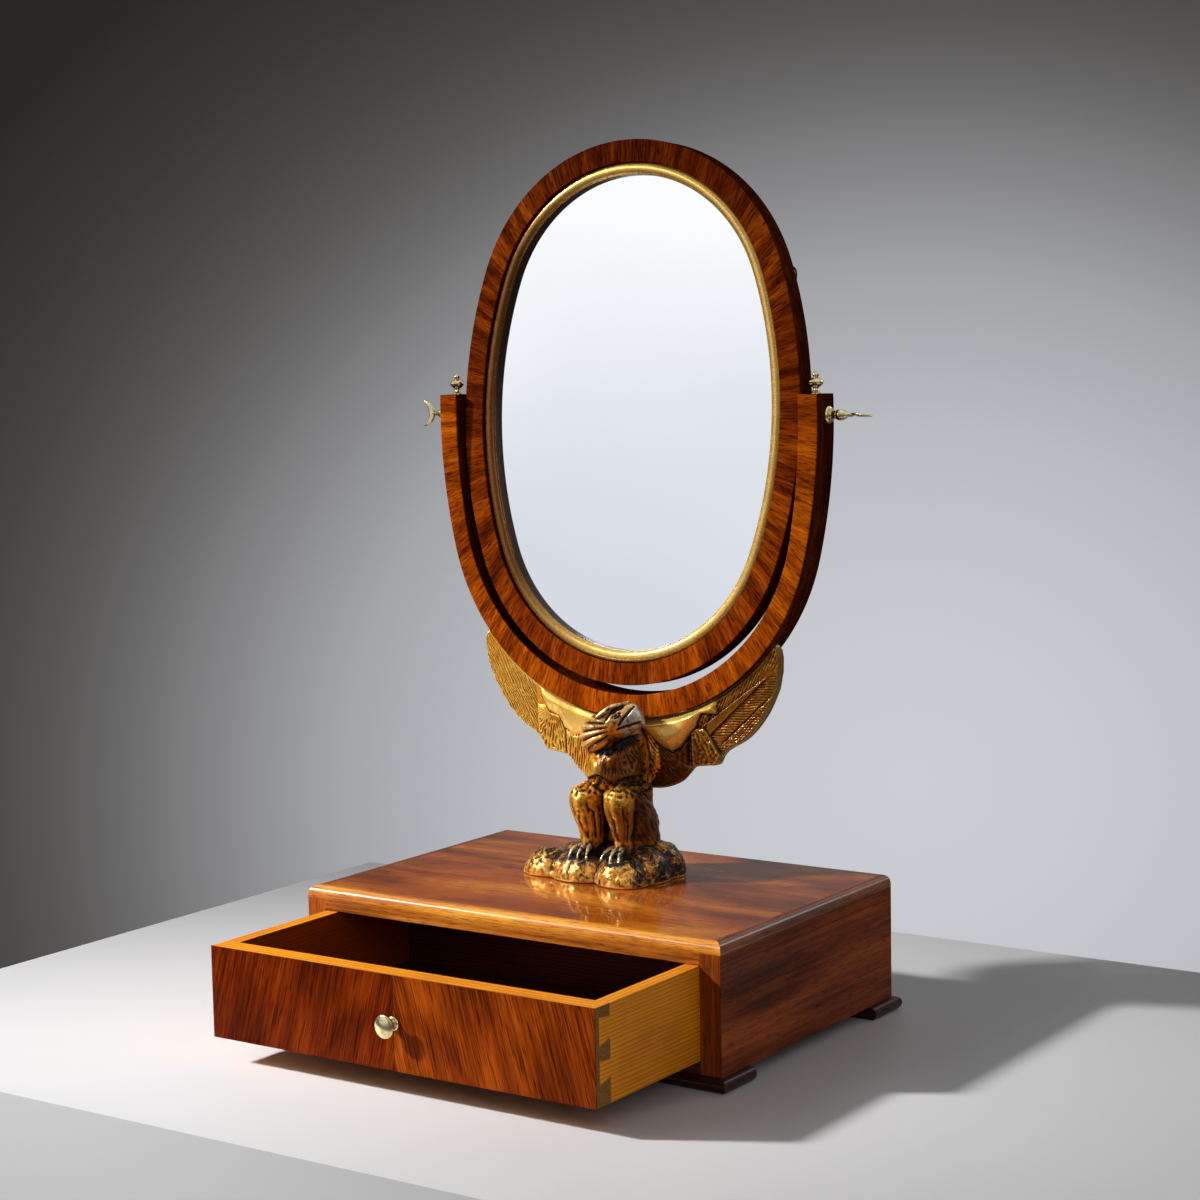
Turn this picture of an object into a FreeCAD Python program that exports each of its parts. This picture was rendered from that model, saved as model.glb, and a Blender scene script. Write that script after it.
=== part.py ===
import FreeCAD, Part
import math
import os
from types import SimpleNamespace
import Sketcher

# Oval table mirror: a tilting oval looking glass in a U-shaped yoke, carried on the wings of a carved
# eagle that stands on a rock, on a low case with one drawer and four pad feet.
# X runs across the case, -Y is the front, Z is up, and the origin is on the table under the case's middle.
# The drawer and the glass are drawn as they stand in use: drawer pulled out, glass leaning back.

doc = FreeCAD.newDocument("table_mirror")
sheet = doc.addObject("Spreadsheet::Sheet", "sizes")

drivingSizes = {
    # Case, from the table up
    "case_width": 400.0,
    "case_depth": 268.0,
    "foot_height": 10.4,
    "foot_length": 62.0,
    "foot_depth": 46.0,
    "foot_overhang": 6.5,
    "foot_round": 4.4,
    "base_thickness": 10.0,
    "opening_height": 73.6,
    "rail_height": 9.2,
    "rail_depth": 42.0,
    "top_thickness": 9.3,
    "side_thickness": 18.4,
    "back_thickness": 9.0,
    "back_rebate": 8.0,
    "kicker_width": 22.0,
    "nosing_width": 10.0,
    "nosing_round": 8.6,
    "veneer_thickness": 1.0,
    # Drawer
    "drawer_pull": 137.0,
    "drawer_length": 244.0,
    "drawer_gap": 0.5,
    "front_thickness": 18.0,
    "lap_thickness": 4.5,
    "board_thickness": 12.5,
    "drawer_back_thickness": 10.0,
    "drawer_back_inset": 6.0,
    "housing_depth": 4.0,
    "bottom_raise": 7.0,
    "bottom_thickness": 5.0,
    "stop_width": 26.0,
    "stop_depth": 14.0,
    "stop_height": 5.0,
    "stop_spacing": 220.0,
    "stop_gap": 0.3,
    # Drawer knob
    "knob_radius": 9.0,
    "knob_reach": 13.0,
    "knob_crown": 0.9,
    "knob_rim": 1.5,
    "knob_collar": 1.2,
    "knob_neck_radius": 3.4,
    "knob_base_radius": 5.4,
    "knob_shank_radius": 2.0,
    "nut_width": 9.0,
    "nut_thickness": 3.5,
    # Carved eagle and its fixings
    "eagle_rise": 130.0,
    "wing_centre_setback": 13.5,
    "wing_thickness": 21.0,
    "dowel_radius": 4.0,
    "dowel_length": 26.0,
    "screw_radius": 2.2,
    "screw_length": 26.0,
    "screw_head_radius": 4.4,
    "screw_head_height": 3.0,
    "screw_spacing": 44.0,
    # Yoke
    "yoke_front": 42.0,
    "yoke_thickness": 28.0,
    "yoke_side_gap": 3.3,
    "yoke_bottom_gap": 7.5,
    "yoke_round_gap": 9.0,
    "yoke_band": 17.1,
    "yoke_bottom_band": 19.5,
    "yoke_round_band": 14.6,
    "yoke_above_pivot": 16.6,
    "pivot_setback": 19.0,
    # Oval looking glass
    "rest_tilt": 3.2,
    "oval_width": 166.0,
    "oval_height": 225.0,
    "oval_end_flat": 12.0,
    "frame_thickness": 19.7,
    "frame_band": 18.3,
    "slip_width": 10.2,
    "slip_recess": 1.5,
    "slip_thickness": 8.0,
    "slip_round": 4.0,
    "glass_thickness": 3.0,
    "backboard_thickness": 5.0,
    "rebate_width": 5.0,
    "rebate_clearance": 0.4,
    "brad_radius": 0.7,
    "brad_length": 9.0,
    "brad_hold": 4.0,
    # Pivots, finials and back eye
    "pivot_radius": 2.4,
    "pivot_clearance": 0.06,
    "pivot_depth": 9.0,
    "seat_gap": 0.05,
    "bush_radius": 4.0,
    "rosette_radius": 7.1,
    "rosette_thickness": 2.6,
    "washer_radius": 6.0,
    "washer_gap": 0.4,
    "plate_length": 30.0,
    "plate_width": 10.0,
    "plate_thickness": 2.4,
    "plate_inset": 0.4,
    "plate_screw_radius": 1.3,
    "plate_screw_spacing": 20.0,
    "plate_screw_length": 8.0,
    "bulb_radius": 4.1,
    "bulb_length": 11.0,
    "thumb_neck": 3.2,
    "thumb_reach": 15.5,
    "thumb_spread": 11.5,
    "thumb_thickness": 2.0,
    "finial_height": 17.7,
    "finial_radius": 6.2,
    "finial_foot_radius": 4.0,
    "finial_neck_radius": 2.4,
    "finial_bead_radius": 2.6,
    "finial_spigot": 10.0,
    "finial_spigot_radius": 2.0,
    "eye_radius": 4.2,
    "eye_wire": 0.9,
    "eye_height": 112.0,
    "eye_inset": 7.0,
}


class Size:
    # A length that carries its number and its formula over the sheet's cells.
    def __init__(self, value, formula):
        self.value = value
        self.formula = formula

    def __add__(self, other):
        return combine(self, "+", other, self.value + size(other).value)

    def __radd__(self, other):
        return size(other) + self

    def __sub__(self, other):
        return combine(self, "-", other, self.value - size(other).value)

    def __rsub__(self, other):
        return size(other) - self

    def __mul__(self, other):
        return combine(self, "*", other, self.value * size(other).value)

    def __rmul__(self, other):
        return size(other) * self

    def __truediv__(self, other):
        return combine(self, "/", other, self.value / size(other).value)

    def __neg__(self):
        return self * -1.0


def size(number):
    return number if isinstance(number, Size) else Size(float(number), f"({float(number):.6f})")


def combine(left, sign, right, value):
    return Size(value, f"({left.formula} {sign} {size(right).formula})")


def root(square):
    return Size(math.sqrt(square.value), f"sqrt({square.formula})")


for row, (name, number) in enumerate(drivingSizes.items(), 1):
    sheet.set(f"A{row}", name)
    sheet.set(f"B{row}", str(number))
    sheet.setAlias(f"B{row}", name)
doc.recompute()
s = SimpleNamespace(**{name: Size(number, f"sizes.{name}") for name, number in drivingSizes.items()})

halfWidth = s.case_width / 2
halfDepth = s.case_depth / 2
baseLevel = s.foot_height
floorLevel = baseLevel + s.base_thickness
railLevel = floorLevel + s.opening_height
topLevel = railLevel + s.rail_height
caseTop = topLevel + s.top_thickness
innerSide = halfWidth - s.side_thickness
drawerFace = -halfDepth - s.drawer_pull
drawerHalf = innerSide - s.drawer_gap
drawerLow = floorLevel + s.drawer_gap
drawerHigh = railLevel - s.drawer_gap
ovalRound = s.oval_width - s.oval_end_flat
yokeInnerWidth = s.oval_width + s.yoke_side_gap
yokeInnerHeight = s.oval_height + s.yoke_bottom_gap
yokeInnerRound = ovalRound + s.yoke_round_gap
yokeOuterWidth = yokeInnerWidth + s.yoke_band
yokeOuterHeight = yokeInnerHeight + s.yoke_bottom_band
yokeOuterRound = yokeInnerRound + s.yoke_round_band
yokeSeat = caseTop + s.eagle_rise
pivotHeight = yokeSeat + yokeOuterHeight
pivotDepth = s.yoke_front + s.pivot_setback
carve = s.eagle_rise / 130.0
sides = (("left", -1), ("right", 1))
nodes = []


# Shared ways of making and placing a piece

def bind(item, prop, length):
    item.setExpression(prop, size(length).formula)


def place(item, x, y, z):
    for axis, length in zip("xyz", (x, y, z)):
        bind(item, f"Placement.Base.{axis}", length)
    return item


def keep(item, label):
    item.Label = label
    nodes.append(item)
    return item


def span(sign, inner, outer):
    return (inner, outer) if sign > 0 else (-size(outer), -size(inner))


def board(label, x, y, z):
    item = doc.addObject("Part::Box", label)
    for prop, (low, high) in zip(("Length", "Width", "Height"), (x, y, z)):
        bind(item, prop, size(high) - low)
    return place(item, x[0], y[0], z[0])


turnTo = {
    "x": FreeCAD.Rotation(FreeCAD.Vector(0, 1, 0), 90),
    "y": FreeCAD.Rotation(FreeCAD.Vector(1, 0, 0), -90),
    "z": FreeCAD.Rotation(),
}


def rod(label, axis, radius, length, x, y, z):
    item = doc.addObject("Part::Cylinder", label)
    bind(item, "Radius", radius)
    bind(item, "Height", length)
    item.Placement.Rotation = turnTo[axis]
    return place(item, x, y, z)


def group(label, items):
    item = doc.addObject("Part::Compound", label)
    item.Links = items
    return item


def cut(label, base, tools):
    # The tools may overlap one another, so each makes its own cut.
    for number, tool in enumerate(tools):
        item = doc.addObject("Part::Cut", f"{label}_cut{number}")
        item.Base = base
        item.Tool = tool
        base = item
    return item


def body(label):
    return doc.addObject("PartDesign::Body", label)


def sketch(owner, role, name, offset=0.0):
    item = owner.newObject("Sketcher::SketchObject", f"{owner.Name}_{name}")
    item.AttachmentSupport = [(next(f for f in owner.Origin.OriginFeatures if f.Role == role), "")]
    item.MapMode = "FlatFace"
    bind(item, "AttachmentOffset.Base.z", offset)
    return item


def pinDown(drawing, geometry, vertex, corner, name):
    # The vertex takes its two coordinates from the sheet, or lies on the axis where one is nought.
    for kind, axis, length in (("DistanceX", -2, size(corner[0])), ("DistanceY", -1, size(corner[1]))):
        if abs(length.value) < 1e-9:
            drawing.addConstraint(Sketcher.Constraint("PointOnObject", geometry, vertex, axis))
        else:
            distance = Sketcher.Constraint(kind, -1, 1, geometry, vertex, length.value)
            tie(drawing, distance, name + kind, length)


def tie(drawing, constraint, name, length):
    drawing.renameConstraint(drawing.addConstraint(constraint), name)
    bind(drawing, f"Constraints.{name}", length)


def outline(drawing, corners):
    # Closed outline, drawn anticlockwise. A corner with a third value starts an arc that rises that far from
    # its chord: outward where the value is positive, inward where it is negative.
    points = [FreeCAD.Vector(size(c[0]).value, size(c[1]).value, 0) for c in corners]
    first = drawing.GeometryCount
    ends = []
    for number, corner in enumerate(corners):
        following = corners[(number + 1) % len(corners)]
        start, finish = points[number], points[(number + 1) % len(points)]
        if len(corner) == 2:
            drawing.addGeometry(Part.LineSegment(start, finish), False)
            ends.append((1, 2))
            continue
        rise = size(corner[2])
        across, up = size(following[0]) - corner[0], size(following[1]) - corner[1]
        run = finish - start
        crown = (start + finish) / 2 + FreeCAD.Vector(run.y, -run.x, 0).normalize() * rise.value
        drawing.addGeometry(Part.Arc(start, crown, finish), False)
        ends.append((1, 2) if rise.value > 0 else (2, 1))
        height = rise if rise.value > 0 else -rise
        radius = ((across * across + up * up) / 4.0 + height * height) / (height * 2.0)
        here = first + number
        tie(drawing, Sketcher.Constraint("Radius", here, radius.value), f"round{here}", radius)
    for number, corner in enumerate(corners):
        here, after = first + number, first + (number + 1) % len(corners)
        joint = (here, ends[number][1], after, ends[(number + 1) % len(corners)][0])
        drawing.addConstraint(Sketcher.Constraint("Coincident", *joint))
        pinDown(drawing, here, ends[number][0], corner, f"corner{here}")


def dome(width, height):
    # Rise of an arc between a turning axis and its rim that makes a part of a ball.
    square = width * width + height * height
    ball = square / (height * 2.0)
    return ball - root(ball * ball - square / 4.0)


def mirrored(corners):
    # The same outline turned over left to right, again anticlockwise, with each rise kept on its own edge.
    before = corners[-1:] + corners[:-1]
    return [(-size(c[0]), c[1], *b[2:]) for c, b in zip(reversed(corners), reversed(before))]


def circle(drawing, x, y, radius):
    middle = FreeCAD.Vector(size(x).value, size(y).value, 0)
    number = drawing.addGeometry(Part.Circle(middle, FreeCAD.Vector(0, 0, 1), radius.value), False)
    tie(drawing, Sketcher.Constraint("Radius", number, radius.value), f"round{number}", radius)
    pinDown(drawing, number, 3, (x, y), f"middle{number}")


def oval(drawing, width, height, endRound):
    # Oval of four arcs: two ends of one radius, and two flatter sides that meet the ends without a corner.
    reach = height - endRound
    sideRound = (width * width + reach * reach - endRound * endRound) / (2.0 * (width - endRound))
    lean = math.atan2(reach.value, sideRound.value - width.value)
    arcs = []
    for quarter, radius in enumerate((sideRound, endRound, sideRound, endRound)):
        shift = sideRound.value - width.value
        middle = ((-shift, 0), (0, reach.value), (shift, 0), (0, -reach.value))[quarter]
        start = (-lean, lean, math.pi - lean, math.pi + lean)[quarter]
        finish = (lean, math.pi - lean, math.pi + lean, 2 * math.pi - lean)[quarter]
        ring = Part.Circle(FreeCAD.Vector(*middle, 0), FreeCAD.Vector(0, 0, 1), radius.value)
        arcs.append(drawing.addGeometry(Part.ArcOfCircle(ring, start, finish), False))
    for here, after in zip(arcs, arcs[1:] + arcs[:1]):
        drawing.addConstraint(Sketcher.Constraint("Tangent", here, 2, after, 1))
    right, top, left, bottom = arcs
    for end in (top, bottom):
        drawing.addConstraint(Sketcher.Constraint("PointOnObject", end, 3, -2))
    tie(drawing, Sketcher.Constraint("DistanceY", -1, 1, top, 3, reach.value), f"reachUp{top}", reach)
    tie(drawing, Sketcher.Constraint("DistanceY", bottom, 3, -1, 1, reach.value), f"reachDown{bottom}", reach)
    tie(drawing, Sketcher.Constraint("Radius", top, endRound.value), f"endRound{top}", endRound)
    tie(drawing, Sketcher.Constraint("Radius", right, sideRound.value), f"sideRound{right}", sideRound)
    drawing.addConstraint(Sketcher.Constraint("Equal", top, bottom))
    drawing.addConstraint(Sketcher.Constraint("Equal", right, left))


def pad(owner, drawing, length, backwards=False):
    item = owner.newObject("PartDesign::Pad", drawing.Name + "_pad")
    item.Profile = drawing
    bind(item, "Length", length)
    item.Reversed = backwards
    return item


def pocket(owner, drawing, length, backwards=False):
    item = owner.newObject("PartDesign::Pocket", drawing.Name + "_pocket")
    item.Profile = drawing
    bind(item, "Length", length)
    item.Reversed = backwards
    return item


def turned(owner, drawing, axis):
    item = owner.newObject("PartDesign::Revolution", drawing.Name + "_turned")
    item.Profile = drawing
    item.ReferenceAxis = (drawing, [axis])
    item.Angle = 360
    return item


def rounded(owner, base, radius, wanted):
    # Rounds the edges of the feature whose middle point passes the test.
    doc.recompute()
    picked = [f"Edge{n}" for n, e in enumerate(base.Shape.Edges, 1)
              if wanted(e.valueAt((e.FirstParameter + e.LastParameter) / 2))]
    item = owner.newObject("PartDesign::Fillet", base.Name + "_round")
    item.Base = (base, picked)
    bind(item, "Radius", radius)
    return item


def onPivot(item):
    # Pieces of the looking glass are drawn upright about the pivot and lean back together.
    item.Placement.Rotation = FreeCAD.Rotation(FreeCAD.Vector(1, 0, 0), -drivingSizes["rest_tilt"])
    bind(item, "Placement.Rotation.Angle", s.rest_tilt * -1.0)
    return place(item, 0.0, pivotDepth, pivotHeight)


def near(value, length):
    return abs(value - size(length).value) < 1e-4


# Case: two sides rebated for the back, a base, rails and kickers, and a veneered top with a rounded nosing

for name, sign in sides:
    panel = body(f"case_side_{name}")
    plan = sketch(panel, "XY_Plane", "plan", baseLevel)
    outer, inner = halfWidth * sign, innerSide * sign
    rebate = (innerSide + s.back_rebate) * sign
    outline(plan, [(outer, -halfDepth), (inner, -halfDepth), (inner, halfDepth - s.back_thickness),
                   (rebate, halfDepth - s.back_thickness), (rebate, halfDepth), (outer, halfDepth)])
    pad(panel, plan, topLevel - baseLevel)
    keep(panel, f"case_side_{name}")

acrossInside = (-innerSide, innerSide)
backFace = halfDepth - s.back_thickness
keep(board("case_base", acrossInside, (-halfDepth, backFace), (baseLevel, floorLevel)), "case_base")
backWidth = innerSide + s.back_rebate
keep(board("case_back", (-backWidth, backWidth), (backFace, halfDepth), (baseLevel, topLevel)), "case_back")
railHeights = (railLevel, topLevel)
frontRailBack = -halfDepth + s.rail_depth
rearRailFront = backFace - s.rail_depth
keep(board("front_top_rail", acrossInside, (-halfDepth, frontRailBack), railHeights), "front_top_rail")
keep(board("rear_top_rail", acrossInside, (rearRailFront, backFace), railHeights), "rear_top_rail")
for name, sign in sides:
    across = span(sign, innerSide - s.kicker_width, innerSide)
    kicker = board(f"drawer_kicker_{name}", across, (frontRailBack, rearRailFront), railHeights)
    keep(kicker, f"drawer_kicker_{name}")

stopFront = -halfDepth + s.veneer_thickness + s.front_thickness + s.stop_gap
stops = []
for name, sign in sides:
    across = span(sign, s.stop_spacing / 2 - s.stop_width / 2, s.stop_spacing / 2 + s.stop_width / 2)
    stops.append(board(f"stop_{name}", across, (stopFront, stopFront + s.stop_depth),
                       (floorLevel, floorLevel + s.stop_height)))
keep(group("drawer_stops", stops), "drawer_stops")

screwHeadTop = topLevel + s.screw_head_height
veneerLow = caseTop - s.veneer_thickness
mountScrews = []
for name, sign in sides:
    spot = (s.screw_spacing / 2 * sign, s.yoke_front - 20.0 * carve)
    head = rod(f"mount_screw_head_{name}", "z", s.screw_head_radius, s.screw_head_height, *spot, topLevel)
    shank = rod(f"mount_screw_shank_{name}", "z", s.screw_radius, s.screw_length, *spot, screwHeadTop)
    screw = doc.addObject("Part::Fuse", f"mount_screw_{name}")
    screw.Base, screw.Tool = head, shank
    mountScrews.append(screw)
keep(group("mount_screws", mountScrews), "mount_screws")

topInside = halfWidth - s.nosing_width
topDepth = (-halfDepth + s.nosing_width, halfDepth)
topCore = board("top_core", (-topInside, topInside), topDepth, (topLevel, veneerLow))
topSheet = board("top_sheet", (-topInside, topInside), topDepth, (veneerLow, caseTop))
keep(cut("case_top", topCore, mountScrews), "case_top")
keep(cut("top_veneer", topSheet, mountScrews), "top_veneer")

nosingBack = topDepth[0]
leftMitre = [(-halfWidth, -halfDepth), (-topInside, nosingBack)]
rightMitre = [(halfWidth, -halfDepth), (topInside, nosingBack)]
nosings = {
    "front": [leftMitre[0], *rightMitre, leftMitre[1]],
    "left": leftMitre + [(-topInside, halfDepth), (-halfWidth, halfDepth)],
    "right": [rightMitre[0], (halfWidth, halfDepth), (topInside, halfDepth), rightMitre[1]],
}
outerEdge = {
    "front": lambda point: near(point.y, -halfDepth) and near(point.z, caseTop),
    "left": lambda point: near(point.x, -halfWidth) and near(point.z, caseTop),
    "right": lambda point: near(point.x, halfWidth) and near(point.z, caseTop),
}
for name, corners in nosings.items():
    strip = body(f"nosing_{name}")
    plan = sketch(strip, "XY_Plane", "plan", topLevel)
    outline(plan, corners)
    rounded(strip, pad(strip, plan, s.top_thickness), s.nosing_round, outerEdge[name])
    keep(strip, f"nosing_{name}")

for depthName, depthSign in (("front", -1), ("back", 1)):
    for name, sign in sides:
        padFoot = body(f"foot_{depthName}_{name}")
        plan = sketch(padFoot, "XY_Plane", "plan")
        outX = (halfWidth + s.foot_overhang) * sign
        outY = (halfDepth + s.foot_overhang) * depthSign
        inX = (halfWidth + s.foot_overhang - s.foot_length) * sign
        inY = (halfDepth + s.foot_overhang - s.foot_depth) * depthSign
        outline(plan, [(inX, inY), (outX, inY), (outX, outY), (inX, outY)])
        slab = pad(padFoot, plan, s.foot_height)

        def outerRim(point, x=outX, y=outY):
            flat = near(point.z, 0.0) or near(point.z, s.foot_height)
            return flat and (near(point.x, x) or near(point.y, y))

        rounded(padFoot, slab, s.foot_round, outerRim)
        keep(padFoot, f"foot_{depthName}_{name}")


# Drawer: dovetailed pine box with a veneered front and a turned knob

veneerBack = drawerFace + s.veneer_thickness
frontBack = veneerBack + s.front_thickness
drawerEnd = drawerFace + s.drawer_length
drawerHeights = (drawerLow, drawerHigh)
for name, across in (("left", (-drawerHalf, size(0))), ("right", (size(0), drawerHalf))):
    leaf = board(f"drawer_leaf_{name}", across, (drawerFace, veneerBack), drawerHeights)
    hole = rod(f"leaf_hole_{name}", "y", s.knob_shank_radius, s.front_thickness, 0.0, drawerFace,
               (drawerLow + drawerHigh) / 2)
    keep(cut(f"drawer_veneer_{name}", leaf, [hole]), f"drawer_veneer_{name}")

bottomLow = drawerLow + s.bottom_raise
bottomHigh = bottomLow + s.bottom_thickness
insideHalf = drawerHalf - s.board_thickness
housedHalf = insideHalf + s.housing_depth
drawerBackFront = drawerEnd - s.drawer_back_inset - s.drawer_back_thickness
drawerBackEnd = drawerEnd - s.drawer_back_inset
drawerBottom = board("drawer_bottom", (-housedHalf, housedHalf), (frontBack - s.housing_depth, drawerBackEnd),
                     (bottomLow, bottomHigh))
keep(drawerBottom, "drawer_bottom")
drawerBack = board("drawer_back", (-housedHalf, housedHalf), (drawerBackFront, drawerBackEnd),
                   (bottomHigh, drawerHigh - s.housing_depth))
keep(drawerBack, "drawer_back")

# Half-blind dovetails: heights of the tails' edges as shares of the board, at the shoulder and at the end
tailEdges = ((0.27, 0.22), (0.44, 0.46), (0.66, 0.60), (0.87, 0.89))
tailEnd = veneerBack + s.lap_thickness
drawerHeight = drawerHigh - drawerLow
sideBlanks = []
for name, sign in sides:
    blank = body(f"drawer_side_blank_{name}")
    inner = insideHalf if sign > 0 else -drawerHalf
    profile = sketch(blank, "YZ_Plane", "profile", inner)
    corners = [(frontBack, drawerLow), (drawerEnd, drawerLow),
               (drawerEnd, drawerHigh), (frontBack, drawerHigh)]
    for number, (shoulder, end) in reversed(list(enumerate(tailEdges))):
        pair = [(frontBack, drawerLow + drawerHeight * shoulder), (tailEnd, drawerLow + drawerHeight * end)]
        corners += pair if number % 2 else pair[::-1]
    outline(profile, corners)
    pad(blank, profile, s.board_thickness)
    sideBlanks.append(blank)
    keep(cut(f"drawer_side_{name}", blank, [drawerBottom, drawerBack]), f"drawer_side_{name}")

knobHeight = (drawerLow + drawerHigh) / 2
knobShank = rod("knob_hole", "y", s.knob_shank_radius, s.front_thickness, 0.0, veneerBack, knobHeight)
frontBlank = board("drawer_front_blank", (-drawerHalf, drawerHalf), (veneerBack, frontBack), drawerHeights)
keep(cut("drawer_front", frontBlank, sideBlanks + [drawerBottom, knobShank]), "drawer_front")

knob = body("drawer_knob")
knobProfile = sketch(knob, "XY_Plane", "profile")
shankEnd = s.veneer_thickness + s.front_thickness + s.nut_thickness
outline(knobProfile, [
    (0.0, -s.knob_reach, dome(s.knob_radius - 0.5, s.knob_crown)),
    (s.knob_radius - 0.5, s.knob_crown - s.knob_reach, 0.3),
    (s.knob_radius - 0.5, s.knob_crown + s.knob_rim - s.knob_reach, -1.2),
    (s.knob_neck_radius, s.knob_reach * -0.46, -0.4),
    (s.knob_base_radius - 0.9, -s.knob_collar - 0.6),
    (s.knob_base_radius, -s.knob_collar),
    (s.knob_base_radius, 0.0),
    (s.knob_shank_radius, 0.0),
    (s.knob_shank_radius, shankEnd),
    (0.0, shankEnd),
])
turned(knob, knobProfile, "V_Axis")
keep(place(knob, 0.0, drawerFace, knobHeight), "drawer_knob")
nutBlank = board("nut_blank", (s.nut_width / -2, s.nut_width / 2), (frontBack, frontBack + s.nut_thickness),
                 (knobHeight - s.nut_width / 2, knobHeight + s.nut_width / 2))
nutBore = rod("nut_bore", "y", s.knob_shank_radius, s.nut_thickness, 0.0, frontBack, knobHeight)
keep(cut("knob_nut", nutBlank, [nutBore]), "knob_nut")


# Yoke: part of an oval ring, open above the pivots, with a cross-banded veneer on its front

def yokeRing(label, depth):
    ring = body(label)
    face = sketch(ring, "XZ_Plane", "face")
    oval(face, yokeOuterWidth, yokeOuterHeight, yokeOuterRound)
    oval(face, yokeInnerWidth, yokeInnerHeight, yokeInnerRound)
    pad(ring, face, depth, True)
    above = sketch(ring, "XZ_Plane", "above")
    clear = yokeOuterWidth + s.yoke_band
    outline(above, [(-clear, s.yoke_above_pivot), (clear, s.yoke_above_pivot),
                    (clear, yokeOuterHeight + s.yoke_band), (-clear, yokeOuterHeight + s.yoke_band)])
    pocket(ring, above, depth)
    return ring


yokeWhole = place(yokeRing("yoke_whole", s.yoke_thickness), 0.0, s.yoke_front, pivotHeight)
yokeSheet = place(yokeRing("yoke_veneer", s.veneer_thickness), 0.0, s.yoke_front, pivotHeight)
yokeBlank = place(yokeRing("yoke_blank", s.yoke_thickness - s.veneer_thickness), 0.0,
                  s.yoke_front + s.veneer_thickness, pivotHeight)
keep(yokeSheet, "yoke_veneer")

armMiddle = yokeInnerWidth + s.yoke_band / 2
finialDepth = s.yoke_front + s.yoke_thickness / 2
armTop = pivotHeight + s.yoke_above_pivot
yokeTools = []
for name, sign in sides:
    armInner, armOuter = span(sign, yokeInnerWidth - 5.0, yokeOuterWidth + 5.0)
    yokeTools.append(rod(f"arm_bore_{name}", "x", s.bush_radius, armOuter - armInner, armInner, pivotDepth,
                         pivotHeight))
    yokeTools.append(rod(f"finial_hole_{name}", "z", s.finial_spigot_radius, s.finial_spigot,
                         armMiddle * sign, finialDepth, armTop - s.finial_spigot))
yokeDowel = rod("yoke_dowel", "z", s.dowel_radius, s.dowel_length, 0.0, s.yoke_front + s.wing_centre_setback,
                yokeSeat + s.yoke_bottom_band * 0.6 - s.dowel_length)
keep(yokeDowel, "yoke_dowel")
keep(cut("yoke", yokeBlank, yokeTools + [yokeDowel]), "yoke")


# Carved eagle: lofted body, legs, tail and turned head on a mound of boulders, with two wings set on dowels

sideways = FreeCAD.Rotation(FreeCAD.Vector(0, 1, 0), FreeCAD.Vector(0, 0, 1), FreeCAD.Vector(1, 0, 0), "ZXY")


def carved(label, along, rings):
    # Smooth loft through ellipses; each is a place and two half widths in the carving's own millimetres,
    # measured across, behind the yoke's front face, and up from the case's top.
    sections = []
    for number, (x, y, z, first, second) in enumerate(rings):
        ring = doc.addObject("Part::Ellipse", f"{label}_ring{number}")
        bind(ring, "MajorRadius", carve * max(first, second))
        bind(ring, "MinorRadius", carve * min(first, second))
        if along == "z":
            turn = FreeCAD.Rotation(0 if first >= second else 90, 0, 0)
        else:
            turn = sideways.multiply(FreeCAD.Rotation(0 if first >= second else 90, 0, 0))
        ring.Placement.Rotation = turn
        sections.append(place(ring, carve * x, s.yoke_front + carve * y, caseTop + carve * z))
    item = doc.addObject("Part::Loft", label)
    item.Sections = sections
    item.Solid = True
    return item


# Boulders: middle across and behind the yoke's front, radius on the case's top, and height
boulders = ((-48, -36, 23, 19), (-20, -37, 26, 24), (24, -37, 25, 23), (29, -26, 22, 21), (23, -3, 28, 23),
            (-36, -9, 29, 23), (-5, -20, 42, 28))
carving = []
for number, (x, y, reach, rise) in enumerate(boulders):
    bulk = (reach ** 2 + rise ** 2) / (2 * rise)
    boulder = doc.addObject("Part::Sphere", f"boulder_{number}")
    bind(boulder, "Radius", carve * bulk)
    carving.append(place(boulder, carve * x, s.yoke_front + carve * y, caseTop + carve * (rise - bulk)))
trunk = carved("eagle_trunk", "z", (
    (0, 1, 24, 20, 21), (0, 0.5, 37, 20.5, 21.5), (0, 0, 50, 21.5, 22.5), (0, -2, 63, 24, 24.5),
    (0, -5, 76, 26.5, 27), (0, -8, 88, 27.5, 28), (0, -9, 100, 27, 27.5), (0, -11, 112, 25, 25.5),
    (0, -14, 125, 18.5, 19)))
carving.append(trunk)
carving.append(carved("eagle_shoulders", "x", (
    (-31, 10, 98, 9, 19), (-14, 9, 99.5, 12, 24), (14, 9, 99.5, 12, 24), (31, 10, 98, 9, 19))))
# Each leg squats: the knee is high in front, and the feathered shank narrows down to the foot
feet = {"left": -12.5, "right": 19.5}
knees = {"left": -18.0, "right": 17.0}
shanks = ((0.0, -33, 20, 6.5, 11), (0.0, -33, 34, 7.5, 12), (0.15, -33.5, 42, 9.5, 13),
          (0.45, -34, 51, 11.5, 14), (0.75, -34.5, 60, 13, 14.5), (0.9, -34, 69, 13, 14),
          (1.0, -32.5, 76, 9, 10))
for name, sign in sides:
    stride = knees[name] - feet[name]
    carving.append(carved(f"eagle_leg_{name}", "z", [
        (feet[name] + stride * share, y, z, wide, deep) for share, y, z, wide, deep in shanks]))
    for spread in (-28, 0, 28):
        toe = doc.addObject("Part::Cone", f"toe_{name}_{spread + 28}")
        bind(toe, "Radius1", carve * 3.4)
        bind(toe, "Radius2", carve * 1.4)
        bind(toe, "Height", carve * 14)
        toe.Placement.Rotation = FreeCAD.Rotation(spread, 0, 108)
        carving.append(place(toe, carve * feet[name], s.yoke_front - carve * 38, caseTop + carve * 28))
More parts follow.
